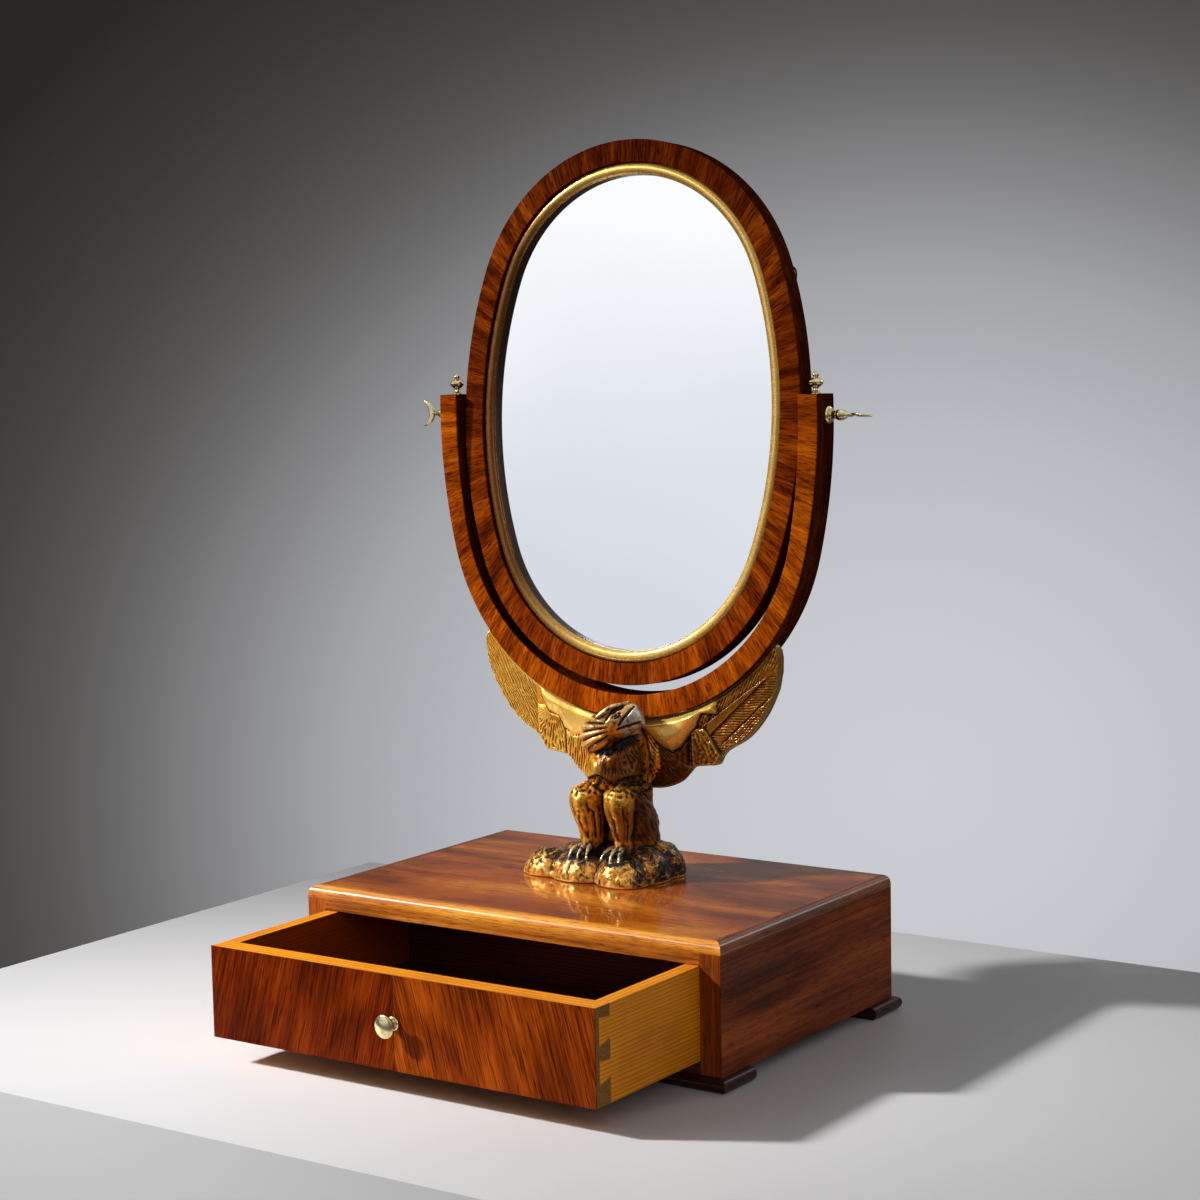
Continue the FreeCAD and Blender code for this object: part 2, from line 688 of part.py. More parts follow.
carving.append(carved("eagle_tail", "z", (
    (0, 13, 8, 27, 6), (0, 13, 28, 25.5, 6), (0, 11, 52, 21.5, 8), (0, 6, 78, 17, 11))))
# The head is turned to its left: a mane of neck feathers, the skull, and the hooked beak
carving.append(carved("eagle_mane", "x", (
    (-31, -21.5, 117, 9, 9.5), (-25, -22, 118.5, 14, 14), (-14, -22.5, 121.5, 16, 16.5),
    (-2, -22.5, 126.5, 16, 17), (8, -22.5, 131.5, 14, 14.5), (16, -22, 134.5, 11.5, 12),
    (20, -22, 135.5, 9, 10.5))))
carving.append(carved("eagle_beak", "x", (
    (14, -22, 136, 8, 10), (22, -22, 136.5, 7, 10.4), (27, -22, 136.3, 5.5, 9.6), (31, -22, 134.2, 3.6, 6.6),
    (34, -22, 131.5, 1.6, 2.6))))
eagleWhole = doc.addObject("Part::MultiFuse", "eagle_whole")
eagleWhole.Shapes = carving

# The body is flattened at the shoulders, where each wing is doweled and glued
wingDepth = s.yoke_front + s.wing_centre_setback
shoulderDepths = (wingDepth - s.wing_thickness * 0.8, wingDepth + s.wing_thickness)
shoulderHeights = (caseTop + carve * 62, caseTop + carve * 140)
shoulder = carve * 24
dowelStart = shoulder - s.dowel_length / 2
wingDowels, wingSeats = [], []
for name, sign in sides:
    dowelSpan = span(sign, dowelStart, dowelStart + s.dowel_length)
    wingDowels.append(rod(f"wing_dowel_{name}", "x", s.dowel_radius, s.dowel_length, dowelSpan[0],
                          s.yoke_front + carve * 9, caseTop + carve * 98))
    seat = span(sign, shoulder, halfWidth)
    wingSeats.append(board(f"wing_seat_{name}", seat, shoulderDepths, shoulderHeights))
keep(group("wing_dowels", wingDowels), "wing_dowels")

below = board("below_top", (-halfWidth, halfWidth), (-halfDepth, halfDepth), (baseLevel, caseTop))
eagleTools = [below, yokeWhole, yokeDowel] + wingSeats + wingDowels
keep(cut("eagle", eagleWhole, eagleTools + mountScrews), "eagle")

# Wings: the inner edge lies along the yoke's lower arc, the outer edge follows the tips of the feathers,
# and both faces thin outward in two rows of feathers. Tips are measured across and up from the lowest
# point of the yoke's arc.
feathers = ((24, -58, 0.5), (50, -51, 1.0), (62, -38, 1.5), (86, -34, 1.0), (93, -24, 1.5), (114, -10, 2.0),
            (130, 8, 2.5), (144, 38, 1.5), (146, 56, 1.0))
tipTurn = math.radians(52.5)
endMiddle = pivotHeight - (yokeOuterHeight - yokeOuterRound)
tip = (yokeOuterRound * math.sin(tipTurn), yokeOuterRound * -math.cos(tipTurn))
heelHeight = -root(yokeOuterRound * yokeOuterRound - shoulder * shoulder)
innerChord = (tip[0] - shoulder) * (tip[0] - shoulder) + (tip[1] - heelHeight) * (tip[1] - heelHeight)
innerRise = yokeOuterRound - root(yokeOuterRound * yokeOuterRound - innerChord / 4.0)
for (name, sign), wingDowel in zip(sides, wingDowels):
    blank = body(f"wing_blank_{name}")
    face = sketch(blank, "XZ_Plane", "face", s.wing_thickness / -2)
    edge = [(carve * x, carve * z - yokeOuterRound, carve * rise) for x, z, rise in feathers]
    edge += [(tip[0], tip[1], -innerRise), (shoulder, heelHeight)]
    outline(face, edge if sign > 0 else mirrored(edge))
    pad(blank, face, s.wing_thickness)
    rows = sketch(blank, "YZ_Plane", "rows")
    half, rim = s.wing_thickness / 2, yokeOuterRound + carve * 70.0
    coverts, quills = yokeOuterRound + carve * 18.0, yokeOuterRound + carve * 33.0
    front = [(half * -1.1, coverts), (-half, coverts), (half * -0.78, quills), (half * -0.6, quills),
             (half * -0.3, rim), (half * -1.1, rim)]
    outline(rows, front)
    outline(rows, [(-y, z) for y, z in reversed(front)])
    groove = blank.newObject("PartDesign::Groove", f"wing_rows_{name}")
    groove.Profile = rows
    groove.ReferenceAxis = (rows, ["H_Axis"])
    groove.Angle = 360
    place(blank, 0.0, wingDepth, endMiddle)
    keep(cut(f"eagle_wing_{name}", blank, [wingDowel]), f"eagle_wing_{name}")


# Finials on the arms, and the turned rosettes, washers and thumb screws of the pivots

halfTurn = FreeCAD.Rotation(FreeCAD.Vector(0, 0, 1), 180)
boreRadius = s.pivot_radius + s.pivot_clearance
outerFace = yokeOuterWidth + s.seat_gap
washerLength = yokeInnerWidth - s.oval_width - s.seat_gap - s.washer_gap
screwInside = yokeInnerWidth - s.oval_width + s.yoke_band + s.seat_gap + s.pivot_depth - s.pivot_clearance
thumbAngles = {"left": 0, "right": 78}
for name, sign in sides:
    side = FreeCAD.Rotation() if sign > 0 else halfTurn

    finial = body(f"finial_{name}")
    profile = sketch(finial, "XZ_Plane", "profile")
    spigot, foot, neck = s.finial_spigot_radius, s.finial_foot_radius, s.finial_neck_radius
    beadLow = s.finial_height - s.finial_bead_radius * 1.8
    neckTop = s.finial_height * 0.31
    swell = (s.finial_radius - neck) * 0.27
    outline(profile, [
        (0.0, -s.finial_spigot), (spigot, -s.finial_spigot), (spigot, 0.0), (foot, 0.0), (foot, 0.8, -0.7),
        (neck, neckTop, swell), (s.finial_radius, (neckTop + beadLow) / 2, swell),
        (neck * 0.7, beadLow, dome(neck * 0.7, s.finial_height - beadLow)), (0.0, s.finial_height)])
    turned(finial, profile, "V_Axis")
    keep(place(finial, armMiddle * sign, finialDepth, armTop), f"finial_{name}")

    rosette = body(f"pivot_rosette_{name}")
    profile = sketch(rosette, "XZ_Plane", "profile")
    lip = s.rosette_thickness * 1.4
    outline(profile, [
        (-s.yoke_band, boreRadius), (lip, boreRadius), (lip, s.rosette_radius * 0.55),
        (s.rosette_thickness, s.rosette_radius * 0.62), (s.rosette_thickness, s.rosette_radius * 0.72, 0.5),
        (0.5, s.rosette_radius), (0.0, s.rosette_radius), (0.0, s.bush_radius),
        (-s.yoke_band, s.bush_radius)])
    turned(rosette, profile, "H_Axis")
    rosette.Placement.Rotation = side
    keep(place(rosette, outerFace * sign, pivotDepth, pivotHeight), f"pivot_rosette_{name}")

    washer = body(f"pivot_washer_{name}")
    face = sketch(washer, "YZ_Plane", "face")
    circle(face, 0.0, 0.0, s.washer_radius)
    circle(face, 0.0, 0.0, boreRadius)
    pad(washer, face, washerLength)
    washer.Placement.Rotation = side
    keep(place(washer, (s.oval_width + s.washer_gap) * sign, pivotDepth, pivotHeight), f"pivot_washer_{name}")

    thumb = body(f"thumb_screw_{name}")
    profile = sketch(thumb, "XZ_Plane", "profile")
    bulbEnd = s.thumb_neck + s.bulb_length
    outline(profile, [
        (-screwInside, 0.0), (bulbEnd, 0.0), (bulbEnd, s.thumb_thickness * 0.7, s.bulb_radius * 0.55),
        (s.thumb_neck, s.pivot_radius + 0.8), (s.seat_gap * 4, s.pivot_radius + 0.8),
        (s.seat_gap * 4, s.pivot_radius), (-screwInside, s.pivot_radius)])
    turned(thumb, profile, "H_Axis")
    blade = sketch(thumb, "XZ_Plane", "blade", s.thumb_thickness / -2)
    heel, tip = bulbEnd - s.bulb_length * 0.25, bulbEnd + s.thumb_reach
    narrow = s.thumb_thickness * 0.8
    outline(blade, [
        (heel, -narrow), (heel + s.thumb_reach * 0.4, -narrow, 1.6), (tip - 0.8, -s.thumb_spread, 0.5),
        (tip, 1.0 - s.thumb_spread, s.thumb_reach * -0.5), (tip, s.thumb_spread - 1.0, 0.5),
        (tip - 0.8, s.thumb_spread, 1.6), (heel + s.thumb_reach * 0.4, narrow), (heel, narrow)])
    pad(thumb, blade, s.thumb_thickness)
    thumb.Placement.Rotation = side.multiply(FreeCAD.Rotation(FreeCAD.Vector(1, 0, 0), thumbAngles[name]))
    keep(place(thumb, (outerFace + lip) * sign, pivotDepth, pivotHeight), f"thumb_screw_{name}")


# Looking glass: oval frame with a cross-banded front, gilt slip, plate, backboard and pivot plates

frontFace = s.frame_thickness / -2
veneerFace = frontFace + s.veneer_thickness
slipFace = frontFace + s.slip_recess
slipBack = slipFace + s.slip_thickness
glassBack = slipBack + s.glass_thickness
boardBack = glassBack + s.backboard_thickness
rebateInset = s.frame_band - s.rebate_width


def insetOval(drawing, inset):
    oval(drawing, s.oval_width - inset, s.oval_height - inset, ovalRound - inset)


def ovalPlate(label, front, thickness, *insets):
    plate = body(label)
    face = sketch(plate, "XZ_Plane", "face", -front)
    for inset in insets:
        insetOval(face, inset)
    return plate, pad(plate, face, thickness, True)


veneer, _ = ovalPlate("mirror_veneer", frontFace, s.veneer_thickness, size(0.0), s.frame_band)
keep(onPivot(veneer), "mirror_veneer")
slip, slipPad = ovalPlate("gilt_slip", slipFace, s.slip_thickness, s.frame_band, s.frame_band + s.slip_width)
rounded(slip, slipPad, s.slip_round, lambda point: near(point.y, slipFace))
keep(onPivot(slip), "gilt_slip")
fitInset = rebateInset + s.rebate_clearance
glass, _ = ovalPlate("mirror_glass", slipBack, s.glass_thickness, fitInset)
keep(onPivot(glass), "mirror_glass")
backboard, _ = ovalPlate("backboard", glassBack, s.backboard_thickness, fitInset)
keep(onPivot(backboard), "backboard")

frameDepth = s.frame_thickness - s.veneer_thickness
frame, _ = ovalPlate("mirror_frame_blank", veneerFace, frameDepth, size(0.0), s.frame_band)
rebate = sketch(frame, "XZ_Plane", "rebate", -slipBack)
insetOval(rebate, rebateInset)
pocket(frame, rebate, s.frame_thickness)
plateOuter = s.oval_width - s.plate_inset
plateInner = plateOuter - s.plate_thickness
screwSpots = (s.plate_screw_spacing / -2, s.plate_screw_spacing / 2)


def plateOutline(drawing):
    wide, long = s.plate_width / 2, s.plate_length / 2
    outline(drawing, [(-wide, -long), (wide, -long), (wide, long), (-wide, long)])


plateScrews = []
for name, sign in sides:
    mortise = sketch(frame, "YZ_Plane", f"mortise_{name}", plateInner * sign)
    plateOutline(mortise)
    pocket(frame, mortise, s.pivot_depth, sign > 0)
    bore = sketch(frame, "YZ_Plane", f"bore_{name}", (s.oval_width - s.pivot_depth) * sign)
    circle(bore, 0.0, 0.0, boreRadius)
    pocket(frame, bore, s.pivot_depth, sign > 0)
    holes = sketch(frame, "YZ_Plane", f"holes_{name}", (plateOuter - s.plate_screw_length) * sign)
    plate = body(f"pivot_plate_{name}")
    face = sketch(plate, "YZ_Plane", "face", plateInner if sign > 0 else -plateOuter)
    plateOutline(face)
    circle(face, 0.0, 0.0, boreRadius)
    for spot in screwSpots:
        circle(holes, 0.0, spot, s.plate_screw_radius)
        circle(face, 0.0, spot, s.plate_screw_radius)
        start = plateOuter - s.plate_screw_length if sign > 0 else -plateOuter
        plateScrews.append(rod(f"plate_screw_{len(plateScrews)}", "x", s.plate_screw_radius,
                               s.plate_screw_length, start, 0.0, spot))
    pocket(frame, holes, s.plate_screw_length, sign > 0)
    pad(plate, face, s.plate_thickness)
    keep(onPivot(plate), f"pivot_plate_{name}")
keep(onPivot(group("plate_screws", plateScrews)), "plate_screws")

# Brads driven into the rebate hold the backboard, spaced round the two ends of the oval
brads = []
bradRing = ovalRound - rebateInset - s.brad_hold
bradDepth = boardBack + s.brad_radius
endReach = s.oval_height - ovalRound
for end in (1, -1):
    for degrees in (20, 65, 115, 160):
        turn = math.radians(degrees) * end
        brad = rod(f"brad_{len(brads)}", "z", s.brad_radius, s.brad_length, bradRing * math.cos(turn),
                   bradDepth, endReach * end + bradRing * math.sin(turn))
        brad.Placement.Rotation = FreeCAD.Rotation(FreeCAD.Vector(0, 1, 0), 90 - math.degrees(turn))
        brads.append(brad)
keep(onPivot(group("backboard_brads", brads)), "backboard_brads")

# Wire eye screwed into the back of the frame, high on the right
sideRound = (s.oval_width * s.oval_width + endReach * endReach - ovalRound * ovalRound) / (
    (s.oval_width - ovalRound) * 2.0)
eyeRing = sideRound - s.eye_inset
eyeAcross = root(eyeRing * eyeRing - s.eye_height * s.eye_height) - (sideRound - s.oval_width)
backFaceLocal = s.frame_thickness / 2
eyeHole = s.eye_wire * 1.4
eyeLift = backFaceLocal + s.eye_radius + s.eye_wire * 1.4
eyeShank = rod("eye_shank", "y", eyeHole, s.plate_screw_length + s.eye_wire * 2.0, eyeAcross,
               backFaceLocal - s.plate_screw_length, s.eye_height)
eyeLoop = doc.addObject("Part::Torus", "eye_loop")
bind(eyeLoop, "Radius1", s.eye_radius)
bind(eyeLoop, "Radius2", s.eye_wire)
eyeLoop.Placement.Rotation = turnTo["x"]
place(eyeLoop, eyeAcross, eyeLift, s.eye_height)
backEye = doc.addObject("Part::Fuse", "back_eye")
backEye.Base, backEye.Tool = eyeLoop, eyeShank
keep(onPivot(backEye), "back_eye")

frameBored = cut("mirror_frame_bored", frame, brads + [eyeShank])
keep(onPivot(frameBored), "mirror_frame")


# Every piece is sound before any file is written

doc.recompute()
faults = [f"{item.Label} {item.State}" for item in doc.Objects if {"Invalid", "Error"} & set(item.State)]
faults += [item.Label for item in nodes if item.Shape.isNull() or not item.Shape.isValid()]
faults += [item.Label for item in nodes if not item.Shape.Solids]
if faults:
    raise RuntimeError("unsound pieces: " + ", ".join(faults))

os.makedirs("parts", exist_ok=True)
for item in nodes:
    item.Shape.exportStep(os.path.join("parts", item.Label + ".step"))
    solids = len(item.Shape.Solids)
    print(f"{item.Label}: {solids} solid(s), {item.Shape.Volume / 1000:.2f} cm3")
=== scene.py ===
import math
import bmesh
import bpy
import numpy as np
from mathutils import Matrix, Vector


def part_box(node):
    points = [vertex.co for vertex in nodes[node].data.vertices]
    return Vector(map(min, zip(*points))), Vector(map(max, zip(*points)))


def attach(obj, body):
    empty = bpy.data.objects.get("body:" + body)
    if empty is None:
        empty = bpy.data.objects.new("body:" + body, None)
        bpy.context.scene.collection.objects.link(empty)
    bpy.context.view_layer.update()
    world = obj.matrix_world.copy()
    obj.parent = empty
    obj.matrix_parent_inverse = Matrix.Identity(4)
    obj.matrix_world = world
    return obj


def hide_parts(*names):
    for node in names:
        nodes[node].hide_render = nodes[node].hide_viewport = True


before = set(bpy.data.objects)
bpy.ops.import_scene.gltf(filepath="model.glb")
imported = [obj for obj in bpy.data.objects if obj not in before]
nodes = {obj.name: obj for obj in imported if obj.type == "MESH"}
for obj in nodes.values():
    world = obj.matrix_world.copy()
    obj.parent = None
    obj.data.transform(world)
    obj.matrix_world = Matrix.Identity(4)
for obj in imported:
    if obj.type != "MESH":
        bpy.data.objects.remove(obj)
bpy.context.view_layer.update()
scene = bpy.context.scene
mm = 0.001
weldReach = 2e-6    # points nearer than this, in metres, are one point
crisp = 0.02    # corner radius in millimetres that is too small to be seen
caseTop = 112.5    # height of the case's top, on which the rock stands
pivot = {"depth": 61.0, "height": 494.5, "lean": 3.2}    # the looking glass turns about this line
print("frame loaded:", len(nodes), "nodes")


# Surfaces: every piece is a grid of points, wrapped where it closes on itself

def quadsOf(rows, cols, wrapRows, wrapCols):
    # each face joins a point with its neighbours one row and one column on
    r, c = np.meshgrid(np.arange(rows if wrapRows else rows - 1), np.arange(cols if wrapCols else cols - 1),
                       indexing="ij")
    below, beside = (r + 1) % rows, (c + 1) % cols
    corners = [r * cols + c, r * cols + beside, below * cols + beside, below * cols + c]
    return np.stack(corners, -1).reshape(-1, 4)


def closedMesh(name, surfaces):
    # all grids of a piece in one mesh, in metres, with equal points joined and faces turned outward
    points, quads, start = [], [], 0
    for grid, wrapRows, wrapCols in surfaces:
        rows, cols = grid.shape[:2]
        points.append(grid.reshape(-1, 3) * mm)
        quads.append(quadsOf(rows, cols, wrapRows, wrapCols) + start)
        start += rows * cols
    mesh = bpy.data.meshes.new(name)
    mesh.from_pydata(np.concatenate(points).tolist(), [], np.concatenate(quads).tolist())
    tidy = bmesh.new()
    tidy.from_mesh(mesh)
    bmesh.ops.remove_doubles(tidy, verts=tidy.verts, dist=weldReach)
    bmesh.ops.recalc_face_normals(tidy, faces=tidy.faces)
    tidy.to_mesh(mesh)
    tidy.free()
    return mesh


def piece(name, surfaces, body, finish, stands, crease=38.0):
    # a mesh that rides on a body and stands for nodes of the frame; edges sharper than the crease stay sharp
    mesh = surfaces if isinstance(surfaces, bpy.types.Mesh) else closedMesh(name, surfaces)
    mesh.shade_smooth()
    mesh.set_sharp_from_angle(angle=math.radians(crease))
    mesh.materials.append(finish)
    made = bpy.data.objects.new(name, mesh)
    scene.collection.objects.link(made)
    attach(made, body)
    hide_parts(*stands)
    return made


def note(mesh, name, values):
    # one value for each point of the mesh, for its material to read
    mesh.attributes.new(name, "FLOAT", "POINT").data.foreach_set("value", np.asarray(values, np.float32))


def fullTurn(count):
    # angles evenly round a circle
    return np.linspace(0, 2 * np.pi, count, endpoint=False)


def unit(vectors):
    # the same directions with length one
    return vectors / np.linalg.norm(vectors, axis=-1, keepdims=True)


def spun(first, second, degrees):
    # two coordinates turned about the axis square to both
    c, s = math.cos(math.radians(degrees)), math.sin(math.radians(degrees))
    return first * c - second * s, first * s + second * c


def softCorners(corners, radius, steps=4):
    # a closed outline whose corners are rounded: each corner becomes a quadratic curve between two points
    # a radius away from it along its edges
    p = np.array(corners, float)
    reach = np.broadcast_to(np.asarray(radius, float), (len(p),))[:, None]
    a, b = (p + unit(np.roll(p, shift, 0) - p) * reach for shift in (1, -1))
    t = np.linspace(0, 1, steps + 1)[None, :, None]
    return ((1 - t) ** 2 * a[:, None] + 2 * t * (1 - t) * p[:, None] + t ** 2 * b[:, None]).reshape(-1, 2)


def smoothLine(points, count):
    # Catmull-Rom curve through the points, evenly in their own spacing
    p = np.array(points, float)
    p = np.concatenate([2 * p[:1] - p[1:2], p, 2 * p[-1:] - p[-2:-1]])
    t = np.linspace(0, len(points) - 1, count)
    k = np.minimum(t.astype(int), len(points) - 2)
    f = (t - k)[:, None]
    p0, p1, p2, p3 = p[k], p[k + 1], p[k + 2], p[k + 3]
    return 0.5 * (2 * p1 + (p2 - p0) * f + (2 * p0 - 5 * p1 + 4 * p2 - p3) * f ** 2
                  + (3 * p1 - p0 - 3 * p2 + p3) * f ** 3)


def turnedOn(profile, spot, axis, around):
    # a profile of (distance along the axis, radius) carried once round an axis along x, y or z, or back along x
    along, radius = np.array(profile, float).T[:, :, None]
    turn = fullTurn(around)
    along, first, second = np.broadcast_arrays(along, radius * np.cos(turn), radius * np.sin(turn))
    grid = {"x": (along, first, second), "-x": (-along, first, second), "y": (first, along, second),
            "z": (first, second, along)}[axis]
    return (np.stack(grid, -1) + np.array(spot), False, True)


def closedRows(grid):
    # adds the middle of the first and last row as end points, so that the ends close
    first, last = (np.repeat(row.mean(1, keepdims=True), grid.shape[1], 1) for row in (grid[:1], grid[-1:]))
    return np.concatenate([first, grid, last])


def ovalArcs(width, height, endRound):
    # distance from the oval's middle to that of an end arc, and radius of the side arcs that meet it smoothly
    reach = height - endRound
    return reach, (width ** 2 + reach ** 2 - endRound ** 2) / (2 * (width - endRound))


def ovalTrack(width, height, endRound, count):
    # four arcs that meet smoothly, as middle, radius and direction of each of count points along them
    reach, side = ovalArcs(width, height, endRound)
    lean = math.atan2(reach, side - width)
    arcs = np.array([(width - side, 0, side, -lean, lean), (0, reach, endRound, lean, math.pi - lean),
                     (side - width, 0, side, math.pi - lean, math.pi + lean),
                     (0, -reach, endRound, math.pi + lean, 2 * math.pi - lean)])
    length = arcs[:, 2] * (arcs[:, 4] - arcs[:, 3])
    end = np.cumsum(length)
    t = np.arange(count) / count * end[-1]
    k = np.searchsorted(end, t, side="right")
    angle = arcs[k, 3] + (t - end[k] + length[k]) / arcs[k, 2]
    return arcs[k, :2], arcs[k, 2], angle


def ovalGrid(track, section):
    # the section (inset from the track, depth) carried along the oval, square to it
    middle, radius, angle = track
    inset, depth = np.array(section, float).T
    reach = radius[:, None] - inset
    return np.stack([middle[:, :1] + reach * np.cos(angle)[:, None], np.repeat(depth[None], len(angle), 0),
                     middle[:, 1:] + reach * np.sin(angle)[:, None]], -1)


def ovalReach(turn, width, height, endRound):
    # distance from the middle to a four-arc oval in a direction: the ray meets a side arc or an end arc
    reach, side = ovalArcs(width, height, endRound)
    c, s = np.abs(np.cos(turn)), np.abs(np.sin(turn))
    shift = width - side
    sideHit = shift * c + np.sqrt(np.maximum(side ** 2 - (shift * s) ** 2, 0))
    endHit = reach * s + np.sqrt(np.maximum(endRound ** 2 - (reach * c) ** 2, 0))
    return np.where(sideHit * s <= reach + endRound * reach / math.hypot(reach, shift), sideHit, endHit)


def onPivot(grid):
    # from the glass's own upright frame to where it leans on its pivots
    x, y, z = np.moveaxis(grid, -1, 0)
    y, z = spun(y, z, -pivot["lean"])
    return np.stack([x, pivot["depth"] + y, pivot["height"] + z], -1)


# Finishes

def tone(red, green, blue):
    # screen colour to the light values that shaders use
    c = np.array([red, green, blue]) / 255.0
    return (*np.where(c <= 0.04045, c / 12.92, ((c + 0.055) / 1.055) ** 2.4).tolist(), 1.0)


def shades(dark, mid, light):
    # a wood's colours, from its darkest lines to its lightest
    return {"dark": dark, "mid": mid, "light": light}


class Finish:
    # one material as a chain of nodes: a socket given as a value is linked, anything else is set, and colours
    # are given as screen colours
    def __init__(self, name, **look):
        self.material = bpy.data.materials.new(name)
        self.material.use_nodes = True
        self.tree = self.material.node_tree
        self.tree.nodes.clear()
        self.shader = self.node("BsdfPrincipled", {k.replace("_", " "): v for k, v in look.items()})
        self.node("OutputMaterial", {"Surface": self.shader.outputs[0]})
        place = self.node("TexCoord")
        self.place, self.normal = place.outputs["Object"], place.outputs["Normal"]

    def node(self, kind, inputs=(), **props):
        made = self.tree.nodes.new("ShaderNode" + kind)
        for prop, value in props.items():
            setattr(made, prop, value)
        for key, value in dict(inputs).items():
            entry = made.inputs[key]
            if isinstance(value, bpy.types.NodeSocket):
                self.tree.links.new(value, entry)
            else:
                entry.default_value = tone(*value) if entry.type == "RGBA" else value
        return made

    def feed(self, entry, socket):
        self.tree.links.new(socket, self.shader.inputs[entry])

    def math(self, operation, *values):
        return self.node("Math", enumerate(values), operation=operation).outputs[0]

    def times(self, first, second, *more):
        # the product of two values, plus a third where one is given
        return self.math("MULTIPLY_ADD" if more else "MULTIPLY", first, second, *more)

    def split(self, vector):
        return self.node("SeparateXYZ", {0: vector}).outputs

    def join(self, *values):
        return self.node("CombineXYZ", enumerate(values)).outputs[0]

    def stretch(self, vector, scale=(1, 1, 1), turn=(0, 0, 0)):
        return self.node("Mapping", {"Vector": vector, "Scale": scale,
                                     "Rotation": [math.radians(a) for a in turn]}).outputs[0]

    def noise(self, vector, scale, detail, rough=0.55, distort=0.0):
        return self.node("TexNoise", {"Vector": vector, "Scale": scale, "Detail": detail, "Roughness": rough,
                                      "Distortion": distort}).outputs["Fac"]

    def fibres(self, vector, scale, *look):
        # noise with a scale of its own along each axis
        return self.noise(self.stretch(vector, scale), 1.0, *look)

    def noted(self, name):
        return self.node("Attribute", attribute_name=name).outputs["Fac"]

    def ramp(self, factor, *stops):
        made = self.node("ValToRGB", {"Fac": factor})
        spots = made.color_ramp.elements
        for number, (at, colour) in enumerate(stops):
            spot = spots[number] if number < 2 else spots.new(at)
            spot.position = at
            spot.color = tone(*colour) if isinstance(colour, tuple) else (colour,) * 3 + (1.0,)
        return made.outputs[0]

    def mix(self, factor, first, second, blend="MIX"):
        made = self.node("Mix", {0: factor, 6: first, 7: second}, data_type="RGBA", blend_type=blend)
        return made.outputs[2]

    def relief(self, height, strength, distance):
        bump = self.node("Bump", {"Height": height, "Strength": strength, "Distance": distance * mm})
        self.feed("Normal", bump.outputs[0])


def grain(finish, vector, look):
    # broad figure, streaks and pores along the first axis of the vector, all in metres
    figure = finish.fibres(vector, look["figure"], 3.0, 0.5, look["swirl"])
    streak = finish.fibres(vector, look["streak"], 6.0, 0.62, 0.35)
    pore = finish.fibres(vector, look["pore"], 2.0, 0.5)
    body = finish.times(figure, look["share"], finish.times(streak, 1.0 - look["share"]))
    base = finish.ramp(body, (0.36, look["dark"]), (0.5, look["mid"]), (0.64, look["light"]))
    flecks = finish.ramp(pore, (0.36, look["fleck"]), (0.46, 0.0))
    return finish.mix(flecks, base, look["dark"], "MULTIPLY"), streak


mahogany = {"fleck": 0.7, "figure": (5, 26, 26), "streak": (9, 260, 260), "pore": (70, 1500, 1500),
            "swirl": 0.7, "share": 0.45}
banding = {**mahogany, "figure": (13, 90, 1), "streak": (44, 560, 1), "pore": (110, 900, 1), "radius": 0.19,
           "step": 0.37, "seam": 0.012}


def crossBanding(name, **look):
    # veneer laid in leaves round the oval, its grain pointing at the pivot's middle
    look = {**banding, **look}
    finish = Finish(name, Roughness=0.45, Specular_IOR_Level=0.0, Coat_Weight=0.012, Coat_Roughness=0.06)
    x, _, z = finish.split(finish.place)
    up = finish.math("SUBTRACT", z, pivot["height"] * mm)
    turn = finish.math("ARCTAN2", up, x)
    reach = finish.math("SQRT", finish.times(x, x, finish.times(up, up)))
    leaf = finish.times(turn, look["leaves"] / math.tau)
    number = finish.math("FLOOR", leaf)
    vector = finish.join(reach, finish.times(turn, look["radius"]), finish.times(number, look["step"]))
    base, streak = grain(finish, vector, look)
    toned = finish.node("TexWhiteNoise", {"W": number}, noise_dimensions="1D").outputs["Value"]
    base = finish.mix(finish.times(toned, look["uneven"]), base, look["deep"], "MULTIPLY")
    line = finish.ramp(finish.math("PINGPONG", leaf, 0.5), (0.0, 0.75), (look["seam"], 0.0))
    finish.feed("Base Color", finish.mix(line, base, look["dark"]))
    finish.relief(streak, 0.12, 0.3)
    return finish.material


def planks(name, along, look, **shader):
    # boards with their grain along one axis
    finish = Finish(name, **{"Roughness": 0.4, "Specular_IOR_Level": 0.15, "Coat_Weight": 0.1,
                             "Coat_Roughness": 0.06, **shader})
    x, y, z = finish.split(finish.place)
    vector = finish.join(*{"x": (x, y, z), "y": (y, x, z), "z": (z, x, y)}[along])
    base, streak = grain(finish, vector, {**mahogany, **look})
    finish.feed("Base Color", base)
    finish.relief(streak, 0.15, 0.3)
    return finish.material


